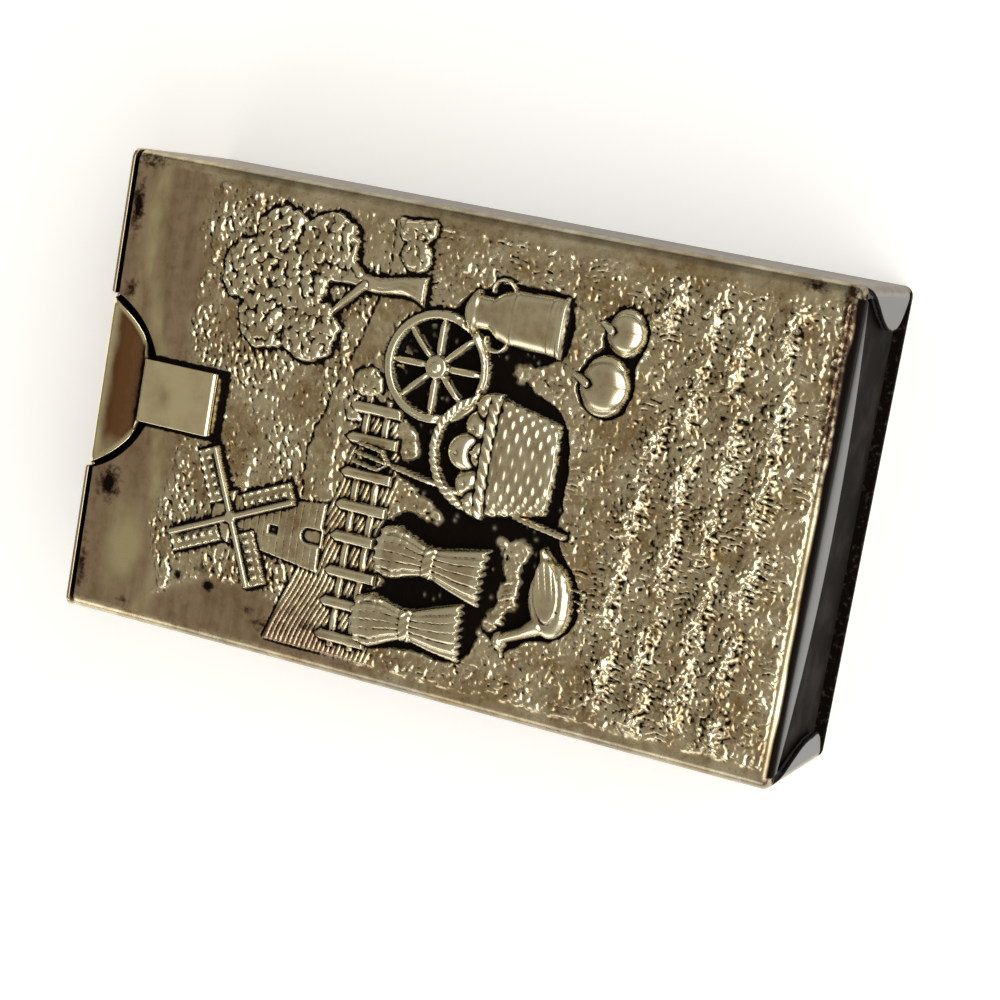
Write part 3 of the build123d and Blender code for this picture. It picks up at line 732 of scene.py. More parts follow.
def oxidised_silver(colours):
    """Silver-plated brass, embossed, dipped in oxide and rubbed back.

    It gives bright warm slopes, brown film with redder patches on the flats, nearly clean high forms,
    violet-grey film with straw streaks on the smooth end, grey smoke on the lip, the ears and the
    sides, and dull black in the hollows. The smoke on the long folds and the sides, and some of the
    black, are painted shade: the tongue's shadow, the rolled turn at the open end, the ears' free
    edges, the corners, the notch end's edge and the side towards +Y.
    """
    material, tree, place = new_material("Oxidised silver plate, embossed")
    hollow, sunk, plain, straw, smoke, stain, rubbed = (
        add_node(tree, "ShaderNodeAttribute", out="Fac", attribute_name=name)
        for name in ("hollow", "sunk", "plain", "straw", "smoke", "stain", "rubbed")
    )
    # brown film in clouds 4 mm wide with finer mottling 0.8 mm wide
    film = clouds(tree, place, 4.0, 0.36, 0.66)
    mottle = clouds(tree, place, 0.8, 0.4, 0.66)
    film = add_node(tree, "ShaderNodeMix", {0: 0.4, 2: film, 3: mottle})
    # redder film in patches 2.6 mm wide
    red = clouds(tree, place, 2.6, 0.46, 0.8)
    red = add_node(tree, "ShaderNodeMath", {0: red, 1: 0.6}, operation="MULTIPLY")
    # film on the smooth end, drawn out across the case by the rolling of the sheet
    streaks = clouds(tree, place, 1.1, 0.36, 0.66, (1.0, 0.12, 1.0))
    streaks = add_node(tree, "ShaderNodeMix", {0: 0.45, 2: streaks, 3: mottle})
    # dark stains with ragged edges
    ragged = clouds(tree, place, 0.5, 0.3, 0.7)
    stain = add_node(tree, "ShaderNodeMath", {0: ragged, 1: 0.5, 2: stain}, operation="MULTIPLY_ADD")
    stain = add_node(tree, "ShaderNodeMapRange", {"Value": stain, "From Min": 0.5, "From Max": 1.0})
    # the smooth end is tarnished and streaked, and the rest goes from bright silver to stained
    tab = colours.violet
    for share, colour in ((streaks, colours.tarnish), (straw, colours.straw)):
        tab = add_node(tree, "ShaderNodeMix", {0: share, 6: tab, 7: colour}, 2, data_type="RGBA")
    base = colours.silver
    for share, colour in (
        (film, colours.patina),
        (red, colours.russet),
        (rubbed, colours.rubbed),
        (plain, tab),
        (smoke, colours.smoke),
        (stain, colours.stain),
    ):
        base = add_node(tree, "ShaderNodeMix", {0: share, 6: base, 7: colour}, 2, data_type="RGBA")
    # oxide left in the hollows and black painted shade from the masks, with specks of dirt 0.4 mm wide
    speck = clouds(tree, place, 0.4, 0.3, 0.7, detail=3.0)
    black = add_node(tree, "ShaderNodeMath", {0: speck, 1: 0.3, 2: hollow}, operation="MULTIPLY_ADD")
    levels = {"Value": black, "From Min": 0.22, "From Max": 0.85}
    black = add_node(tree, "ShaderNodeMapRange", levels, interpolation_type="SMOOTHSTEP")
    black = add_node(tree, "ShaderNodeMath", {0: black, 1: sunk}, operation="MAXIMUM")
    metal_with_oxide(tree, base, black, colours.oxide, 0.27, 0.5)
    return material


def handled_metal(name, clean, film_colour, film_share, oxide, roughness):
    """Plain metal with cloudy film, more film where it is painted on the mesh, and oxide and painted shade
    in black.

    It gives a clean sheen with darker clouds, brown dips and black corners.
    """
    material, tree, place = new_material(name)
    film, hollow = (
        add_node(tree, "ShaderNodeAttribute", out="Fac", attribute_name=key) for key in ("film", "hollow")
    )
    # breath-like film in clouds 2.6 mm wide
    breath = clouds(tree, place, 2.6, 0.42, 0.72)
    shares = {0: breath, 1: film_share, 2: film}
    film = add_node(tree, "ShaderNodeMath", shares, operation="MULTIPLY_ADD", use_clamp=True)
    base = add_node(tree, "ShaderNodeMix", {0: film, 6: clean, 7: film_colour}, 2, data_type="RGBA")
    # oxide and painted shade with a ragged edge
    ragged = clouds(tree, place, 0.5, 0.3, 0.7)
    black = add_node(tree, "ShaderNodeMath", {0: ragged, 1: 0.25, 2: hollow}, operation="MULTIPLY_ADD")
    levels = {"Value": black, "From Min": 0.3, "From Max": 1.0}
    black = add_node(tree, "ShaderNodeMapRange", levels, interpolation_type="SMOOTHSTEP")
    metal_with_oxide(tree, base, black, oxide, roughness, 0.4)
    return material


def smoked_metal(colours):
    """Silver plate gone dark inside a closed box.

    It gives a dull brown with paler clouds, and a nearly black outside to the pan's end wall.
    """
    material, tree, place = new_material("Tarnished silver plate, folded")
    # paler film in clouds 5 mm wide
    pale = clouds(tree, place, 5.0, 0.42, 0.7)
    ends = {0: pale, 6: colours.stain, 7: colours.umber}
    base = add_node(tree, "ShaderNodeMix", ends, 2, data_type="RGBA")
    # black on the end wall's outside, a little thinner in the same clouds
    along = add_node(tree, "ShaderNodeSeparateXYZ", {"Vector": place}, "X")
    wall = {"Value": along, "From Min": END_WALL[0] * MM, "From Max": END_WALL[1] * MM}
    outside = add_node(tree, "ShaderNodeMapRange", wall)
    black = add_node(tree, "ShaderNodeMapRange", {"Value": pale, "To Min": 1.0, "To Max": 0.95})
    black = add_node(tree, "ShaderNodeMath", {0: outside, 1: black}, operation="MULTIPLY")
    metal_with_oxide(tree, base, black, colours.oxide, 0.42, 0.6)
    return material


# Grid of the embossed sheet: fine steps on the outside, and one coarse step inside for each eight
COARSE = 8
FRONT_STEPS, CORNER_STEPS, SIDE_STEPS = 424, 8, 40
BAND_STEPS, BAND_COUNT, END_STEPS = 160, 4, 48
TAB_END = -24.0
# Rounding of the free edges, and shares of the way from them to the bands between
EDGE_RADIUS, EDGE_TURN = 0.12, np.radians([90, 60, 30])[:, None]
END_SHARE = np.linspace(0, 1, END_STEPS + 1)[:, None]
# Widths of the hollows that hold oxide
HOLLOW_WIDTHS = (0.35, 0.13)
# Ears at the open end: levels of their top, tip and root, and their reach on either side. Slits in
# the corners: place across and radius, and how far the sheet runs in beside them
EAR_TOP, EAR_TIP, EAR_ROOT, EAR_REACH = 13.9, 4.9, 0.9, {-1: 2.6, 1: 3.5}
SLIT_PLACE, SLIT_RADIUS, CORNER_INSET = 18.2, 0.45, 1.1


def case_section(sizes):
    """Points of the cross-section from one side's foot over the front to the other.

    Their outward directions come with them.
    """
    radius, half, front = sizes.long_radius / MM, CASE_HIGH[1], FRONT
    rise = np.linspace(CASE_LOW[2], front - radius, SIDE_STEPS + 1)
    turn = np.radians(np.linspace(180, 90, CORNER_STEPS + 1)[1:])
    across = np.linspace(-(half - radius), half - radius, FRONT_STEPS + 1)[1:]
    left = np.stack([np.full_like(rise, -half), rise], -1)
    left_out = np.tile([-1.0, 0.0], (len(rise), 1))
    corner_out = np.stack([np.cos(turn), np.sin(turn)], -1)
    corner = corner_out * radius + [-(half - radius), front - radius]
    top = np.stack([across, np.full_like(across, front)], -1)
    top_out = np.tile([0.0, 1.0], (len(across), 1))
    mirror = np.array([-1.0, 1.0])
    return [
        np.concatenate([a, b, c, (b * mirror)[-2::-1], (a * mirror)[::-1]])
        for a, b, c in ((left, corner, top), (left_out, corner_out, top_out))
    ]


def facing(outward):
    """Which points of the section lie on the front, and which on a side."""
    return outward[:, 1] > 0.999, outward[:, 1] < 0.001


def hermite(start, end, start_slope, end_slope, t):
    """Cubic from one point to another with given slopes."""
    t2, t3 = t * t, t * t * t
    return (
        start * (2 * t3 - 3 * t2 + 1)
        + end * (3 * t2 - 2 * t3)
        + start_slope * (t3 - 2 * t2 + t)
        + end_slope * (t3 - t2)
    )


def ear_edge(level, half, reach):
    """Distance of an ear's free edge from the case's outer side at each level.

    One cubic runs from the slit in to the ear's tip, and a second one back out to its root.
    """
    down = np.clip((EAR_TOP - level) / (EAR_TOP - EAR_TIP), 0, 1)
    on = np.clip((EAR_TIP - level) / (EAR_TIP - EAR_ROOT), 0, 1)
    upper = hermite(half - 0.35, half - reach, -0.4 * 3.2, 0.0, down)
    lower = hermite(half - reach, half - 0.5, 0.0, 9.0, on)
    edge = np.where(level > EAR_TIP, upper, lower)
    edge = np.where(level < EAR_ROOT, half - 0.5, edge)
    slit = SLIT_PLACE + np.sqrt(np.clip(SLIT_RADIUS**2 - (level - EAR_TOP) ** 2, 0, None))
    return half - np.where(level > EAR_TOP, slit, edge)


def arc_radius(half_chord, rise):
    """Radius of the arc with a given half chord and rise."""
    return (half_chord**2 + rise**2) / (2 * rise)


def end_insets(points, outward, sizes):
    """How far the sheet runs inward from the outer skin at the open end, at each point of the section."""
    half = CASE_HIGH[1]
    y, z = points[:, 0], points[:, 1]
    # the lip's free edge is an arc over its chord, and beyond the chord it rounds the slit's end
    chord, rise = half - 1.25, (sizes.lip_middle - sizes.lip_end) / MM
    radius = arc_radius(chord, rise)
    bow = np.sqrt(np.clip(radius**2 - y**2, 0, None)) - (radius - rise)
    lip = sizes.lip_end / MM + np.clip(bow, 0, None)
    slit = FRONT - EAR_TOP - np.sqrt(np.clip(SLIT_RADIUS**2 - (np.abs(y) - SLIT_PLACE) ** 2, 0, None))
    lip = np.where(np.abs(y) > chord, slit, lip)
    ear = np.where(y < 0, ear_edge(z, half, EAR_REACH[-1]), ear_edge(z, half, EAR_REACH[1]))
    ear = np.where(z > EAR_TOP + SLIT_RADIUS, CORNER_INSET, ear)
    on_front, on_side = facing(outward)
    return np.where(on_front, lip, np.where(on_side, ear, CORNER_INSET))


def roll(inset, start, radius):
    """Position along the case of the rounded end edge, a quarter circle, at each inset."""
    bend = np.arccos(1 - np.clip(inset, 0, radius) / radius)
    return start + radius * np.sin(bend)


def sheet_band(name, material, outer, inner, masks, extra=0):
    """Closed band of sheet between a fine outer grid and a grid inside it with one step for each eight.

    The outer grid can have extra rows for a rounded edge, at its start or, counted below zero, at its end.
    """
    rows, columns = outer.shape[:2]
    in_rows, in_columns = inner.shape[:2]
    points = np.concatenate([outer.reshape(-1, 3), inner.reshape(-1, 3)])
    outer_index = np.arange(rows * columns).reshape(rows, columns)
    inner_index = rows * columns + np.arange(in_rows * in_columns).reshape(in_rows, in_columns)
    low, high = max(extra, 0), max(-extra, 0)
    borders = (
        (outer_index[0], inner_index[0], 0, 0),
        (outer_index[-1, ::-1], inner_index[-1, ::-1], 0, 0),
        (outer_index[::-1, 0], inner_index[::-1, 0], high, low),
        (outer_index[:, -1], inner_index[:, -1], low, high),
    )
    walls, tips = [], []
    for fine, coarse, before, after in borders:
        count = len(coarse) - 1
        start = before + np.arange(count)[:, None] * COARSE
        steps = fine[start + np.arange(COARSE, -1, -1)]
        walls.append(np.concatenate([steps, np.stack([coarse[:-1], coarse[1:]], -1)], 1))
        if before:
            tips.append([*fine[before::-1], coarse[0]])
        if after:
            tips.append([*fine[: -after - 2 : -1], coarse[-1]])
    inner_quads = inner_index.ravel()[grid_quads(in_rows, in_columns)][:, ::-1]
    faces = [grid_quads(rows, columns), inner_quads, np.concatenate(walls)]
    if tips:
        faces.append(np.array(tips))
    # the inside of the sheet is smoked nearly black
    inside = {"sunk": 0.8, "smoke": 1.0}
    padded = {
        key: np.concatenate([values.ravel(), np.full(inner.size // 3, inside.get(key, 0.0))])
        for key, values in masks.items()
    }
    piece = make_piece(name, points, faces, "case", "embossed_silver", material, 2, padded)
    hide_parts("embossed_case")
    return piece


# Dark blots on the front: place, half length, half width and strength
BLOTS = (
    (-29.4, 14.4, 0.6, 1.9, 1.0), (-28.3, -8.2, 1.0, 1.3, 1.0), (-28.9, 7.9, 0.7, 0.9, 0.8),
    (-29.6, -15.6, 0.4, 2.4, 0.8), (-22.0, -11.0, 0.3, 0.45, 0.9), (-20.6, -14.2, 0.45, 0.4, 1.2),
    (-17.8, -14.4, 0.5, 0.4, 1.2), (-20.9, -12.9, 0.3, 0.3, 0.6), (-18.6, -13.0, 0.5, 0.7, 0.7),
    (-13.9, -15.6, 0.6, 0.4, 0.7), (27.0, 18.3, 1.2, 0.4, 0.85), (-28.6, 18.3, 1.6, 0.6, 0.7),
    (-12.6, -16.4, 1.0, 0.7, 0.6), (-8.6, -15.4, 1.0, 0.8, 0.5), (-25.4, -17.4, 1.0, 0.6, 0.5),
)


def stains(x, y):
    """Shares of dark stain, straw film and the tongue's black shadow over the front."""
    ragged = 0.35 * cloudy(x, y, 0.9, 95)
    dark = np.zeros(x.shape)
    for bx, by, rx, ry, strength in BLOTS:
        dark = np.maximum(dark, strength * ridge(np.hypot((x - bx) / rx, (y - by) / ry) + ragged, 1))
    # painted shadow of the tongue: black along its sides and beyond its tip
    beside = np.maximum(np.abs(y) - 2.85, x + 18.75)
    shadow = ramp(0.3, -0.1, beside) * ramp(-26.8, -26.0, x)
    shadow = shadow * (0.2 + 0.8 * ramp(-0.9, -0.4, beside))
    # straw film in a wavy line across the smooth end, in a pool, and in a second line at one side
    curve = -27.0 + 3.2 * ramp(8.0, -5.0, y) + 0.7 * np.sin(y * 0.35)
    straw = ridge(x - curve + 0.5 * cloudy(x, y * 0.4, 2.0, 96), 0.75)
    straw = straw * (0.55 + 0.45 * cloudy(x * 2.5, y, 1.4, 97))
    pool = ridge(np.hypot((x + 25.9) / 1.7, (y + 12.6) / 3.4) + 0.4 * cloudy(x, y, 1.6, 98), 1)
    second = 0.8 * ridge(x + 28.6 - 0.05 * y, 0.5) * ramp(-6, 6, y)
    second = second * (0.5 + 0.5 * cloudy(x * 2.5, y, 1.8, 99))
    straw = np.clip(1.3 * np.maximum(np.maximum(straw, 0.9 * pool), second), 0, 1)
    return np.clip(dark, 0, 1.3), straw, shadow


def film_shares(outer, hollow, sunk, plain, rubbed):
    """Shares of each film, of the oxide and of the painted shade at the points of a band."""
    x, y, z = outer[..., 0], outer[..., 1], outer[..., 2]
    dark, straw, shadow = stains(x, y)
    # brown wear at one half of the open end's border
    worn = 0.7 * ramp(28.9, 29.6, x + 0.3 * cloudy(x, y, 1.0, 86)) * ramp(-2.0, 9.0, y)
    # the tongue's painted shadow and the darkest stains turn black
    black = np.maximum(shadow, ramp(0.7, 0.95, dark)) * (z > FRONT - 0.5)
    # a dark line beside the long folds, grey smoke and painted shade on the folds, and cloudy film and
    # painted shade on the sides
    side = ramp(FRONT - 0.3, FRONT - 1.1, z)
    inset = CASE_HIGH[1] - np.abs(y)
    crease = 0.55 * ridge(inset - 1.0, 0.12) * (z > FRONT - 0.2)
    fold_shade = ramp(0.95, 0.6, inset) * ramp(-26, -18, x)
    fold_shade = fold_shade * (1 - side) * np.clip(0.45 + 0.35 * cloudy(x * 0.3, y, 1.5, 89), 0, 1)
    film = side * (0.7 + 0.4 * cloudy(x * 0.5, z * 2 + y, 4.0, 88)) * ramp(-24, -8, x)
    return {
        "hollow": np.maximum(np.maximum(hollow, crease), black),
        # painted shade: the side towards +Y turns partly black
        "sunk": np.maximum(sunk, 0.55 * side * ramp(0.0, 5.0, y)),
        "plain": np.maximum(plain, 0.6 * side),
        "straw": straw * (1 - side),
        "stain": np.maximum(np.maximum(dark, worn) * (1 - side), 0.35 * film),
        "smoke": np.maximum(fold_shade, 0.55 * film),
        "rubbed": 0.9 * rubbed,
    }


class EmbossedSheet:
    """Section of the case, its steps along the case, and the relief and its masks on the front."""

    def __init__(self, sizes):
        self.sizes, self.sheet, self.end_radius = sizes, sizes.sheet / MM, sizes.end_radius / MM
        self.points, self.outward = case_section(sizes)
        self.on_front, self.on_side = facing(self.outward)
        self.roll_start = CASE_HIGH[0] - self.end_radius
        self.step = (self.roll_start - TAB_END) / (BAND_STEPS * BAND_COUNT)
        self.before = math.ceil((TAB_END - CASE_LOW[0]) / self.step)
        self.levels = TAB_END + self.step * np.arange(-self.before, BAND_STEPS * BAND_COUNT + 1)
        first = SIDE_STEPS + CORNER_STEPS
        self.front = slice(first, first + FRONT_STEPS + 1)
        u = self.points[self.front, 0]
        field, sunk, plain = picture(*np.meshgrid(u, -self.levels), self.step)
        # hollows are black as far as the blurred relief lies above the sharp one
        wide, narrow = (softened(field, self.step, width) for width in HOLLOW_WIDTHS)
        narrow = np.clip(0.3 * (narrow - field) / 0.04, 0, 0.5)
        hollow = np.clip(0.75 * (wide - field) / 0.16 + narrow, 0, 1)
        # high forms and crests are rubbed
        rubbed = 0.3 * ramp(0.4, 0.9, field) + 0.9 * ramp(0.02, 0.13, field - wide)
        self.field, self.masks = field, (hollow, sunk, plain, np.clip(rubbed, 0, 1))

    def surface(self, x, inset, relief=0.0):
        """Points of the section at places along the case, moved outward by relief less inset."""
        lift = (relief - inset)[..., None] * self.outward
        return np.concatenate([np.broadcast_to(x, lift.shape[:2])[..., None], self.points + lift], -1)

    def spread(self, values):
        """Values of the front with zeros for the corners and the sides."""
        whole = np.zeros((values.shape[0], len(self.points)))
        whole[:, self.front] = values
        return whole

    def sampled(self, values, x):
        """Values of the front, read off between its rows at places along the case."""
        place = np.clip((x - self.levels[0]) / self.step, 0, self.before)
        low = np.minimum(place.astype(int), self.before - 1)
        part = place - low
        whole = self.spread(values)
        column = np.arange(len(self.points))
        return whole[low, column] * (1 - part) + whole[low + 1, column] * part

    def notch_end(self):
        """The end with the half-moon notch: its free edge is rounded, and the steps close up from it."""
        half_width, reach = self.sizes.notch_width / MM / 2, self.sizes.notch_reach / MM
        radius = arc_radius(half_width, reach)
        across = self.points[:, 0]
        edge = CASE_LOW[0] + reach - radius + np.sqrt(np.clip(radius**2 - across**2, 0, None))
        edge = np.where(self.on_front & (np.abs(across) < half_width), edge, CASE_LOW[0])
        rounding, straight = edge + EDGE_RADIUS * (1 - np.sin(EDGE_TURN)), edge + EDGE_RADIUS
        x = np.concatenate([rounding, straight + (TAB_END - straight) * END_SHARE])
        inset = np.zeros(x.shape)
        inset[: len(EDGE_TURN)] = EDGE_RADIUS * (1 - np.cos(EDGE_TURN))
        outer = self.surface(x, inset, self.sampled(self.field, x))
        rows = np.concatenate([[0], np.arange(len(EDGE_TURN) + COARSE, len(x), COARSE)])
        inner = self.surface(x, np.full_like(x, self.sheet))[rows][:, ::COARSE]
        hollow, sunk, plain, rubbed = (self.sampled(values, x) for values in self.masks)
        # painted shade: darker within 0.25 mm of the end's free edge on the front
        near_edge = 0.4 * ramp(0.25, 0.0, x - edge) * self.on_front
        return outer, inner, film_shares(outer, np.maximum(hollow, near_edge), sunk, plain, rubbed)

    def front_band(self, k):
        """One of the bands of equal steps with the picture."""
        rows = slice(self.before + k * BAND_STEPS, self.before + (k + 1) * BAND_STEPS + 1)
        x = np.broadcast_to(self.levels[rows, None], (BAND_STEPS + 1, len(self.points)))
        outer = self.surface(x, np.zeros(x.shape), self.spread(self.field[rows]))
        inner = self.surface(x, np.full(x.shape, self.sheet))[::COARSE, ::COARSE]
        return outer, inner, film_shares(outer, *(self.spread(values[rows]) for values in self.masks))

    def open_end(self):
        """The open end: the edge rolls over into the lip and the ears, and ends in a rounded rim."""
        deep = end_insets(self.points, self.outward, self.sizes)
        turn = EDGE_TURN[::-1]
        rim = deep - EDGE_RADIUS * (1 - np.sin(turn))
        inset = np.concatenate([(deep - EDGE_RADIUS) * END_SHARE**2, rim])
        back = np.concatenate([0 * END_SHARE, EDGE_RADIUS * (1 - np.cos(turn))])
        outer = self.surface(roll(inset, self.roll_start, self.end_radius) - back, inset)
        below = (np.maximum(deep, self.sheet) - self.sheet) * END_SHARE**2
        inner_x = roll(below, self.roll_start, self.end_radius - self.sheet)
        inner = self.surface(inner_x, self.sheet + below)[::COARSE, ::COARSE]
        # painted shade: black in the turn below the bright rolled edge, thinner towards the lip's free edge
        across = self.points[:, 0]
        lean = 0.9 + 0.5 * ramp(-19, 19, across) + 0.1 * lattice_noise(across, inset, 3.0, 84)
        shade_from = 0.02 + 0.08 * lattice_noise(across, 0 * inset, 2.2, 85)
        fold_shade = ramp(shade_from, shade_from + 0.16, inset) * np.exp(-np.clip(inset - lean, 0, None))
        fold_shade = np.where(self.on_front, fold_shade, 0.0)
        # painted shade: black along the ears' free edges and in the corners
        free = ramp(0.24, 0.06, deep - inset) * ~self.on_front
        corner = np.where(self.on_front | self.on_side, 0.0, 0.8) * ramp(0.2, 0.8, inset)
        masks = film_shares(outer, np.maximum(free, corner), fold_shade, 0 * fold_shade, 0 * fold_shade)
        # the lip and the ears are smoked and hardly stained, and the painted shade in the turn is black
        turned_in = ramp(0.3, 0.9, inset)
        sunk = masks["sunk"] * (1 - turned_in)
        masks["sunk"] = np.maximum(sunk, np.maximum(fold_shade, 0.1 * turned_in))
        masks["smoke"] = np.maximum(masks["smoke"], turned_in)
        masks["stain"] = masks["stain"] * (1 - masks["smoke"])
        return outer, inner, masks


class HOLDER_OT_embossed_case(bpy.types.Operator):
    """Builds the embossed sheet: a section carried along the case, with the relief on the front"""

    bl_idname = "holder.embossed_case"
    bl_label = "Embossed case"

    def execute(self, context):
        sheet = EmbossedSheet(context.scene.holder_sizes)
        material = oxidised_silver(context.scene.holder_colours)
        sheet_band("case_notch_end", material, *sheet.notch_end(), len(EDGE_TURN))
        for k in range(BAND_COUNT):
            sheet_band(f"case_front_{k + 1}", material, *sheet.front_band(k))
        sheet_band("case_lip_and_ears", material, *sheet.open_end(), -len(EDGE_TURN))
        return {"FINISHED"}


def filleted(corners, radii, step, closed=False):
    """Points at even steps along a line whose corners are rounded with their own radii.

    Each corner gives way to an arc that starts radius times the tangent of half the turn before it.
    """
    corners = np.asarray(corners, float)
    count = len(corners)
    pieces = []
    for k in range(count):
        here = corners[k]
        if not closed and k in (0, count - 1):
            pieces.append(here[None])
            continue
        into = here - corners[k - 1]
        out = corners[(k + 1) % count] - here
        into, out = into / np.hypot(*into), out / np.hypot(*out)
        turn = math.atan2(into[0] * out[1] - into[1] * out[0], into @ out)
        radius = radii[k]
        if radius <= 0 or abs(turn) < 0.02:
            pieces.append(here[None])
            continue
        side = math.copysign(1.0, turn)
        start = here - into * radius * math.tan(abs(turn) / 2)
        centre = start + side * radius * np.array([-into[1], into[0]])
        angle = np.linspace(0, turn, max(3, math.ceil(radius * abs(turn) / step)))[:, None]
        spoke = start - centre
        across = np.array([-spoke[1], spoke[0]])
        pieces.append(centre + spoke * np.cos(angle) + across * np.sin(angle))
    line = np.concatenate(pieces)
    ends = np.roll(line, -1, axis=0)
    if not closed:
        ends, last = ends[:-1], line[-1:]
    filled = []
    for a, b in zip(line, ends):
        parts = max(1, math.ceil(np.hypot(*(b - a)) / step))
        filled.append(a + (b - a) * np.arange(parts)[:, None] / parts)
    return np.concatenate(filled if closed else filled + [last])


def inward(outline):
    """Directions into a closed outline that runs anticlockwise, at each of its points."""
    along = np.roll(outline, -1, axis=0) - np.roll(outline, 1, axis=0)
    along /= np.hypot(along[:, 0], along[:, 1])[:, None]
    return np.stack([-along[:, 1], along[:, 0]], -1)


def rim_distance(points, outline):
    """Distance of each point from the nearest point of an outline."""
    blocks = np.array_split(points, 40)
    gaps = [np.hypot(*(block[:, None] - outline).transpose(2, 0, 1)).min(1) for block in blocks]
    return np.concatenate(gaps)


def cut_sheet(outline, inner_points, sheet, edge):
    """Flat blank cut from sheet: two faces, and a rim rounded at both corners by quarter circles.

    Gives points across and along, their depth below the outer face, the faces, and the distance of
    each point from the rim.
    """
    turn = np.radians([0, 30, 60, 90])
    quarter_in, quarter_down = edge * (1 - np.sin(turn)), edge * (1 - np.cos(turn))
    land = edge + 0.04
    insets = np.concatenate([[land], quarter_in, quarter_in[::-1], [land]])
    depths = np.concatenate([[0], quarter_down, sheet - quarter_down[::-1], [sheet]])
    count, rings = len(outline), len(insets)
    direction = inward(outline)
    ring_points = (outline + insets[:, None, None] * direction).reshape(-1, 2)
    ring_depth = np.repeat(depths, count)
    keep = rim_distance(inner_points, outline) > edge + 0.12
    inner_points = inner_points[keep]
    flat = [Vector(p) for p in np.concatenate([ring_points[:count], inner_points]).tolist()]
    result = delaunay_2d_cdt(flat, [], [list(range(count))], 1, 1e-7)
    source = np.array([ids[0] for ids in result[3]])
    triangles = source[np.array(result[2])]
    if source.max() >= len(flat) or len(triangles) < count:
        raise RuntimeError("The blank's outline could not be filled")
    inner = len(inner_points)
    below = triangles + (rings - 1) * count + np.where(triangles < count, 0, inner)
    top = triangles + np.where(triangles < count, 0, (rings - 1) * count)
    ring_start = np.arange(rings - 1)[:, None] * count
    a = (ring_start + np.arange(count)).ravel()
    b = (ring_start + np.roll(np.arange(count), -1)).ravel()
    wall = np.stack([a, a + count, b + count, b], -1)
    points = np.concatenate([ring_points, inner_points, inner_points])
    depth = np.concatenate([ring_depth, np.zeros(inner), np.full(inner, sheet)])
    distance = np.concatenate([np.repeat(insets, count), np.tile(rim_distance(inner_points, outline), 2)])
    return points, depth, [top, wall, below[:, ::-1]], distance


# Width of the slits beside the flap
SLIT = 0.25


def line_length(line):
    """Length along a line up to each of its points."""
    return np.concatenate([[0], np.cumsum(np.hypot(*np.diff(line, axis=0).T))])


def bent(points, depth, side):
    """Bends a flat blank along a side view: the line gives each point its place, its normal the depth."""
    length = line_length(side)
    along = np.gradient(side, length, axis=0)
    along /= np.hypot(along[:, 0], along[:, 1])[:, None]
    x, z, ax, az = (np.interp(points[:, 1], length, values) for values in (*side.T, *along.T))
    size = np.hypot(ax, az)
    return np.stack([x + depth * az / size, points[:, 0], z - depth * ax / size], -1)


def spread_points(width, start, end, across, along):
    """Lattice of points over a strip."""
    columns = np.linspace(-width / 2, width / 2, math.ceil(width / across) + 1)
    rows = np.linspace(start, end, math.ceil((end - start) / along) + 1)
    return np.stack(np.meshgrid(columns, rows), -1).reshape(-1, 2)


class HOLDER_OT_back_plate(bpy.types.Operator):
    """Builds the flat back plate with its rounded corners and worn edges"""

    bl_idname = "holder.back_plate"
    bl_label = "Back plate"

    def execute(self, context):
        sizes, colours = context.scene.holder_sizes, context.scene.holder_colours
        sheet, corner = sizes.sheet / MM, sizes.end_radius / MM
        half, length = BACK_HIGH[1], BACK_HIGH[0] - BACK_LOW[0]
        corners = [(-half, 0), (half, 0), (half, length), (-half, length)]
        outline = filleted(corners, (0.2, 0.2, corner, corner), 0.25, closed=True)
        lattice = spread_points(2 * half - 1, 0.5, length - 0.5, 1.5, 1.5)
        points, depth, faces, distance = cut_sheet(outline, lattice, sheet, 0.12)
        side = np.array([(BACK_LOW[0], BACK_HIGH[2]), (BACK_HIGH[0], BACK_HIGH[2])])
        # all but the outer face and its worn edge is black
        film = 0.5 * ramp(3.0, 0.5, distance) * (depth > sheet - 0.01)
        masks = {"film": film, "hollow": 0.9 * (depth < sheet - 0.08)}
        finish = (colours.silver, colours.tarnish, 0.6, colours.oxide, 0.24)
        material = handled_metal("Silver plate, rolled", *finish)
        placed = bent(points, depth, side)
        piece = make_piece("back_sheet", placed, faces, "case", "plain_silver", material, masks=masks)
        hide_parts("back_plate")
        return {"FINISHED"}


class HOLDER_OT_drawer_pan(bpy.types.Operator):
    """Gives the drawer pan its dark tarnish"""

    bl_idname = "holder.drawer_pan"
    bl_label = "Drawer pan"

    def execute(self, context):
        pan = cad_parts["drawer_pan"].data
        pan.materials.clear()
        pan.materials.append(smoked_metal(context.scene.holder_colours))
        return {"FINISHED"}


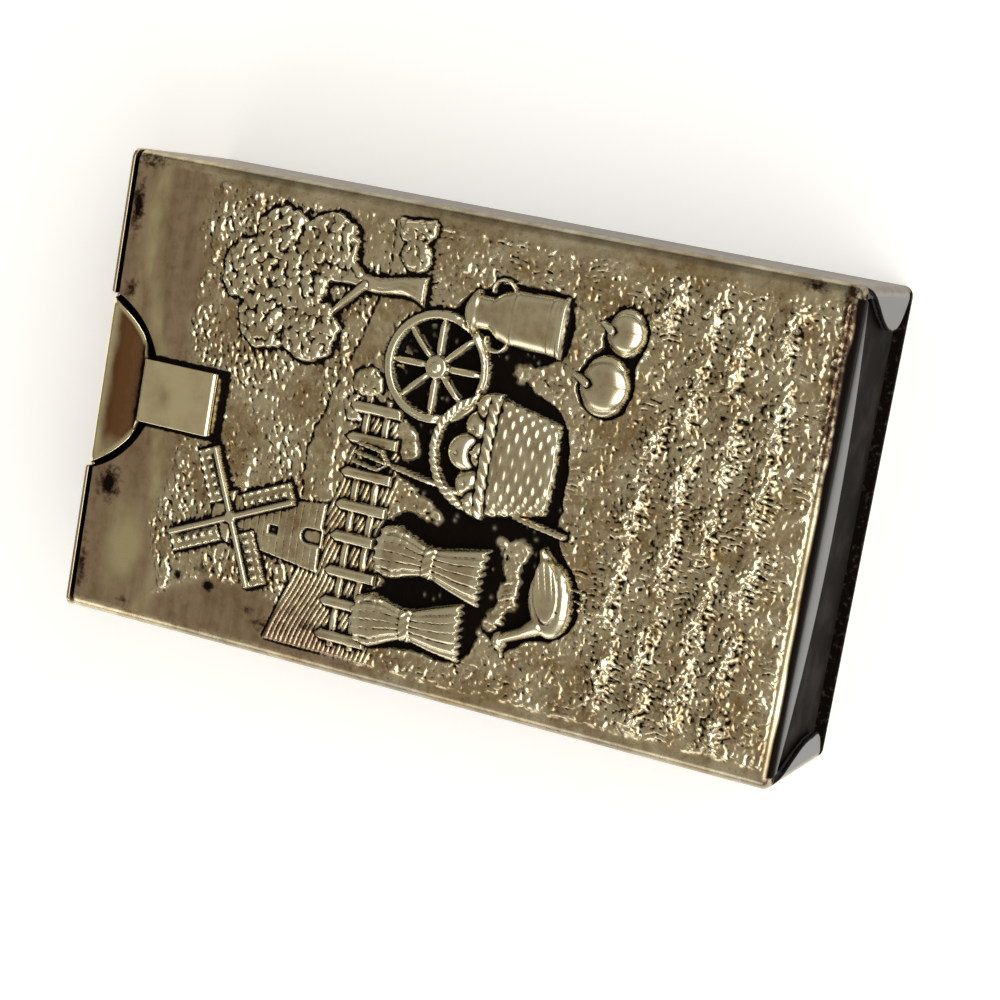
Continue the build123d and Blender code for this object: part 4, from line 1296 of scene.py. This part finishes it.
class SpringStrip:
    """Strip of the drawer plate, its half-moon flap and its tongue: sizes, side view and flat blank."""

    def __init__(self, sizes):
        self.sheet = sizes.plate_sheet / MM
        self.outer_x, self.foot, self.end_x = PLATE_LOW[0], PLATE_LOW[2], PLATE_HIGH[0]
        self.inner_x, self.root_x = self.outer_x + self.sheet, self.end_x - sizes.tongue_length / MM
        self.half, self.top = PLATE_HIGH[1], FRONT - self.foot
        self.half_flap, self.half_tongue = sizes.flap_width / MM / 2, sizes.tongue_width / MM / 2
        self.reach = sizes.flap_reach / MM
        self.side = self.side_view()
        self.length = line_length(self.side)

    def side_view(self):
        """Line up the end, over the flap's crest, down into its dip, over the tongue and down its tip."""
        flap_z, top_z, run = FRONT + 0.1, PLATE_HIGH[2], self.root_x - self.inner_x
        corners = [
            (self.outer_x, self.foot),
            (self.outer_x, flap_z),
            (self.inner_x + 0.3 * run, flap_z),
            (self.inner_x + 0.8 * run, flap_z - 0.75),
            (self.root_x, top_z),
            (self.end_x, top_z),
            (self.end_x, flap_z),
        ]
        return filleted(corners, (0, 0.9, 1.6, 0.4, 0.5, 0.5, 0), 0.03)

    def half_moon(self):
        """Edge of the flap on the flat blank, across and along."""
        radius = arc_radius(self.half_flap, self.reach)
        turn = np.linspace(math.asin(self.half_flap / radius), math.asin(self.half_tongue / radius), 40)
        x, y = self.inner_x + self.reach - radius + radius * np.cos(turn), radius * np.sin(turn)
        flap = np.flatnonzero(self.side[:, 0] > self.inner_x)[0]
        rising = slice(flap, int(np.argmax(self.side[:, 0] > self.end_x - 0.51)))
        return np.stack([y, np.interp(x, self.side[rising, 0], self.length[rising])], -1)

    def outline(self):
        """Outline of the flat blank, from its right half: across, along and corner radius."""
        slit_edge, slit_floor, arc = self.half_flap + SLIT, self.top - 0.85, self.half_moon()
        right = [
            (self.half, 0, 0.9),
            (self.half, self.top, 0.9),
            (slit_edge, self.top, 0.2),
            (slit_edge, slit_floor, 0.1),
            (self.half_flap, slit_floor, 0.1),
            *((y, q, 0) for y, q in arc[:-1]),
            (arc[-1, 0], arc[-1, 1], 0.2),
            (self.half_tongue, self.length[-1], 0.3),
        ]
        rows = np.array(right + [(-y, q, r) for y, q, r in right[::-1]])
        return filleted(rows[:, :2], rows[:, 2], 0.15, closed=True)

    def blank(self):
        """Flat blank with a coarse lattice of points on the end and a fine one on flap and tongue."""
        outline = self.outline()
        coarse = spread_points(2 * self.half - 1, 0.5, self.top - 1.2, 1.0, 1.0)
        fine = spread_points(2 * self.half_flap - 0.3, self.top - 1.1, self.length[-1] - 0.2, 0.2, 0.12)
        lattice = np.concatenate([coarse, fine])
        inside = polygon(lattice[:, 0], lattice[:, 1], [tuple(p) for p in outline[::2].tolist()]) < 0
        return cut_sheet(outline, lattice[inside], self.sheet, 0.09)

    def placed(self, points, depth, distance):
        """Points of the bent strip, with the share of the half-moon and the part beside the slits."""
        x = np.interp(points[:, 1], self.length, self.side[:, 0])
        moon = ramp(self.inner_x + 0.1, self.inner_x + 0.6, x) * (points[:, 1] > self.top - 1)
        moon = moon * ramp(self.root_x - 0.1, self.root_x - 0.5, x)
        # the half-moon's edge is turned up a little
        strip = bent(points, depth - 0.14 * moon * ridge(distance, 0.3), self.side)
        # beside the slits the plate runs straight up
        shoulder = np.abs(points[:, 0]) > self.half_flap + 0.5 * SLIT
        straight = np.stack([self.outer_x + depth, points[:, 0], self.foot + points[:, 1]], -1)
        return np.where(shoulder[:, None], straight, strip), moon, shoulder

    def film_shares(self, placed, distance, moon, shoulder):
        """Brown film and painted shade in the flap's dip, brown film in a spot on the tongue, and black
        painted shade in the trough between.
        """
        x, y = placed[:, 0], placed[:, 1]
        rim = ramp(0.45, 0.25, distance) * moon
        ragged = 0.25 * lattice_noise(x, y, 1.6, 91)
        # brown film and painted shade in the flap's dip
        dip = ramp(-30.1, -29.1, x + ragged) * ramp(self.root_x, self.root_x - 0.35, x)
        dip = dip * (1 - 0.7 * ramp(-3.6, -6.2, y))
        spot = ridge(np.hypot((x + 24.0) / 0.55, (y + 0.2) / 0.75), 1.0)
        on_top = (placed[:, 2] > FRONT - 1.5) & ~shoulder
        # painted shade: black in the trough before the tongue's root, and darker towards the dip's end
        trough = ridge(x - self.root_x + 0.75, 0.45) * (np.abs(y) < self.half_flap)
        dark = np.maximum(trough, 0.5 * dip * ramp(-29.0, -27.2, x))
        return {
            "film": np.where(on_top, np.clip(dip * (1 - rim) + 0.4 * spot, 0, 1), 0.45),
            "hollow": on_top * (1 - 0.9 * rim) * dark,
        }


class HOLDER_OT_drawer_plate(bpy.types.Operator):
    """Builds the drawer plate: a blank with a half-moon flap and a tongue, bent along its side view"""

    bl_idname = "holder.drawer_plate"
    bl_label = "Drawer plate"

    def execute(self, context):
        colours = context.scene.holder_colours
        strip = SpringStrip(context.scene.holder_sizes)
        points, depth, faces, distance = strip.blank()
        placed, moon, shoulder = strip.placed(points, depth, distance)
        masks = strip.film_shares(placed, distance, moon, shoulder)
        finish = (colours.brass, colours.umber, 0.22, colours.oxide, 0.2)
        material = handled_metal("Silver-plated brass strip, polished", *finish)
        placing = ("drawer", "polished_silver", material)
        piece = make_piece("spring_strip", placed, faces, *placing, masks=masks)
        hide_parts("drawer_plate")
        return {"FINISHED"}


FLOOR_HALF = 1.5
# Soft lights: name, direction from the holder, distance, width and height in metres, watts
SOFTBOXES = (
    ("key softbox", (0.62, 0.0, 0.78), 0.6, (0.9, 0.42), 3.0),
    ("low fill", (-0.2, -0.95, 0.35), 0.8, (0.8, 0.3), 1.2),
)
# Surroundings that the metal mirrors: dark near the horizon and paler above
HORIZON, ZENITH = "#3D3A36", "#9C968A"
# Camera fitted to the photograph's viewing angle: place in millimetres, lens, and its three axes
CAMERA_PLACE, CAMERA_LENS, SENSOR_WIDTH = (72.72, 24.71, 188.70), 88.44, 36.0
CAMERA_RIGHT = (0.90958, 0.17185, -0.37833)
CAMERA_UP = (-0.21290, 0.97463, -0.06913)
CAMERA_BACK = (0.35685, 0.14342, 0.92309)


def softbox(name, aim, distance, size, power):
    """Rectangular soft light at a distance along a direction, turned to the origin."""
    data = bpy.data.lights.new(name, "AREA")
    data.shape = "RECTANGLE"
    data.size, data.size_y = size
    data.energy = power
    light = bpy.data.objects.new(name, data)
    bpy.context.scene.collection.objects.link(light)
    direction = Vector(aim).normalized()
    light.location = direction * distance
    light.rotation_euler = direction.to_track_quat("Z", "Y").to_euler()


class HOLDER_OT_stage(bpy.types.Operator):
    """Sets the pale floor, the soft lights and the camera at the viewing angle"""

    bl_idname = "holder.stage"
    bl_label = "Stage"

    def execute(self, context):
        scene = context.scene
        corners = [(x * FLOOR_HALF, y * FLOOR_HALF, 0) for x, y in ((-1, -1), (1, -1), (1, 1), (-1, 1))]
        mesh = bpy.data.meshes.new("floor")
        mesh.from_pydata(corners, [], [(0, 1, 2, 3)])
        floor = bpy.data.objects.new("floor", mesh)
        scene.collection.objects.link(floor)
        material, tree, _ = new_material("Matte white paper")
        white = scene.holder_colours.floor
        paper = {"Base Color": white, "Roughness": 0.9, "Emission Color": white, "Emission Strength": 0.4}
        shader = add_node(tree, "ShaderNodeBsdfPrincipled", paper)
        add_node(tree, "ShaderNodeOutputMaterial", {"Surface": shader})
        mesh.materials.append(material)
        for light in SOFTBOXES:
            softbox(*light)
        world = bpy.data.worlds.new("studio")
        world.use_nodes = True
        tree = world.node_tree
        tree.nodes.clear()
        direction = add_node(tree, "ShaderNodeTexCoord", out="Generated")
        level = add_node(tree, "ShaderNodeSeparateXYZ", {"Vector": direction}, "Z")
        levels = {"Value": level, "From Min": 0.05, "From Max": 0.4}
        share = add_node(tree, "ShaderNodeMapRange", levels, interpolation_type="SMOOTHSTEP")
        ends = {0: share, 6: linear(HORIZON), 7: linear(ZENITH)}
        colour = add_node(tree, "ShaderNodeMix", ends, 2, data_type="RGBA")
        background = add_node(tree, "ShaderNodeBackground", {"Color": colour, "Strength": 1.0})
        add_node(tree, "ShaderNodeOutputWorld", {"Surface": background})
        scene.world = world
        camera_data = bpy.data.cameras.new("camera")
        camera_data.sensor_width, camera_data.lens = SENSOR_WIDTH, CAMERA_LENS
        camera_data.clip_start, camera_data.clip_end = 0.01, 10.0
        camera = bpy.data.objects.new("camera", camera_data)
        axes = Matrix((CAMERA_RIGHT, CAMERA_UP, CAMERA_BACK)).transposed().to_4x4()
        camera.matrix_world = Matrix.Translation(Vector(CAMERA_PLACE) * MM) @ axes
        scene.collection.objects.link(camera)
        scene.camera = camera
        scene.view_settings.view_transform = "Standard"
        return {"FINISHED"}


class HOLDER_PT_panel(bpy.types.Panel):
    """Lists the steps that build the holder and its stage"""

    bl_idname = "HOLDER_PT_panel"
    bl_label = "Matchbox Holder"
    bl_space_type = "VIEW_3D"
    bl_region_type = "UI"
    bl_category = "Holder"

    def draw(self, context):
        for group in (context.scene.holder_sizes, context.scene.holder_colours):
            box = self.layout.box()
            for name in group.__annotations__:
                box.prop(group, name)
        for operator in OPERATORS:
            self.layout.operator(operator.bl_idname)


OPERATORS = (
    HOLDER_OT_embossed_case,
    HOLDER_OT_back_plate,
    HOLDER_OT_drawer_pan,
    HOLDER_OT_drawer_plate,
    HOLDER_OT_stage,
)
CLASSES = (HolderSizes, HolderColours, *OPERATORS, HOLDER_PT_panel)


def register():
    """Registers the classes and puts the properties on the scene."""
    for item in CLASSES:
        bpy.utils.register_class(item)
    bpy.types.Scene.holder_sizes = bpy.props.PointerProperty(type=HolderSizes)
    bpy.types.Scene.holder_colours = bpy.props.PointerProperty(type=HolderColours)


def unregister():
    """Takes the properties off the scene and the classes out again."""
    del bpy.types.Scene.holder_colours
    del bpy.types.Scene.holder_sizes
    for item in reversed(CLASSES):
        bpy.utils.unregister_class(item)


def main():
    """Builds every piece and the stage."""
    register()
    bpy.ops.holder.embossed_case()
    bpy.ops.holder.back_plate()
    bpy.ops.holder.drawer_pan()
    bpy.ops.holder.drawer_plate()
    bpy.ops.holder.stage()


if __name__ == "__main__":
    main()
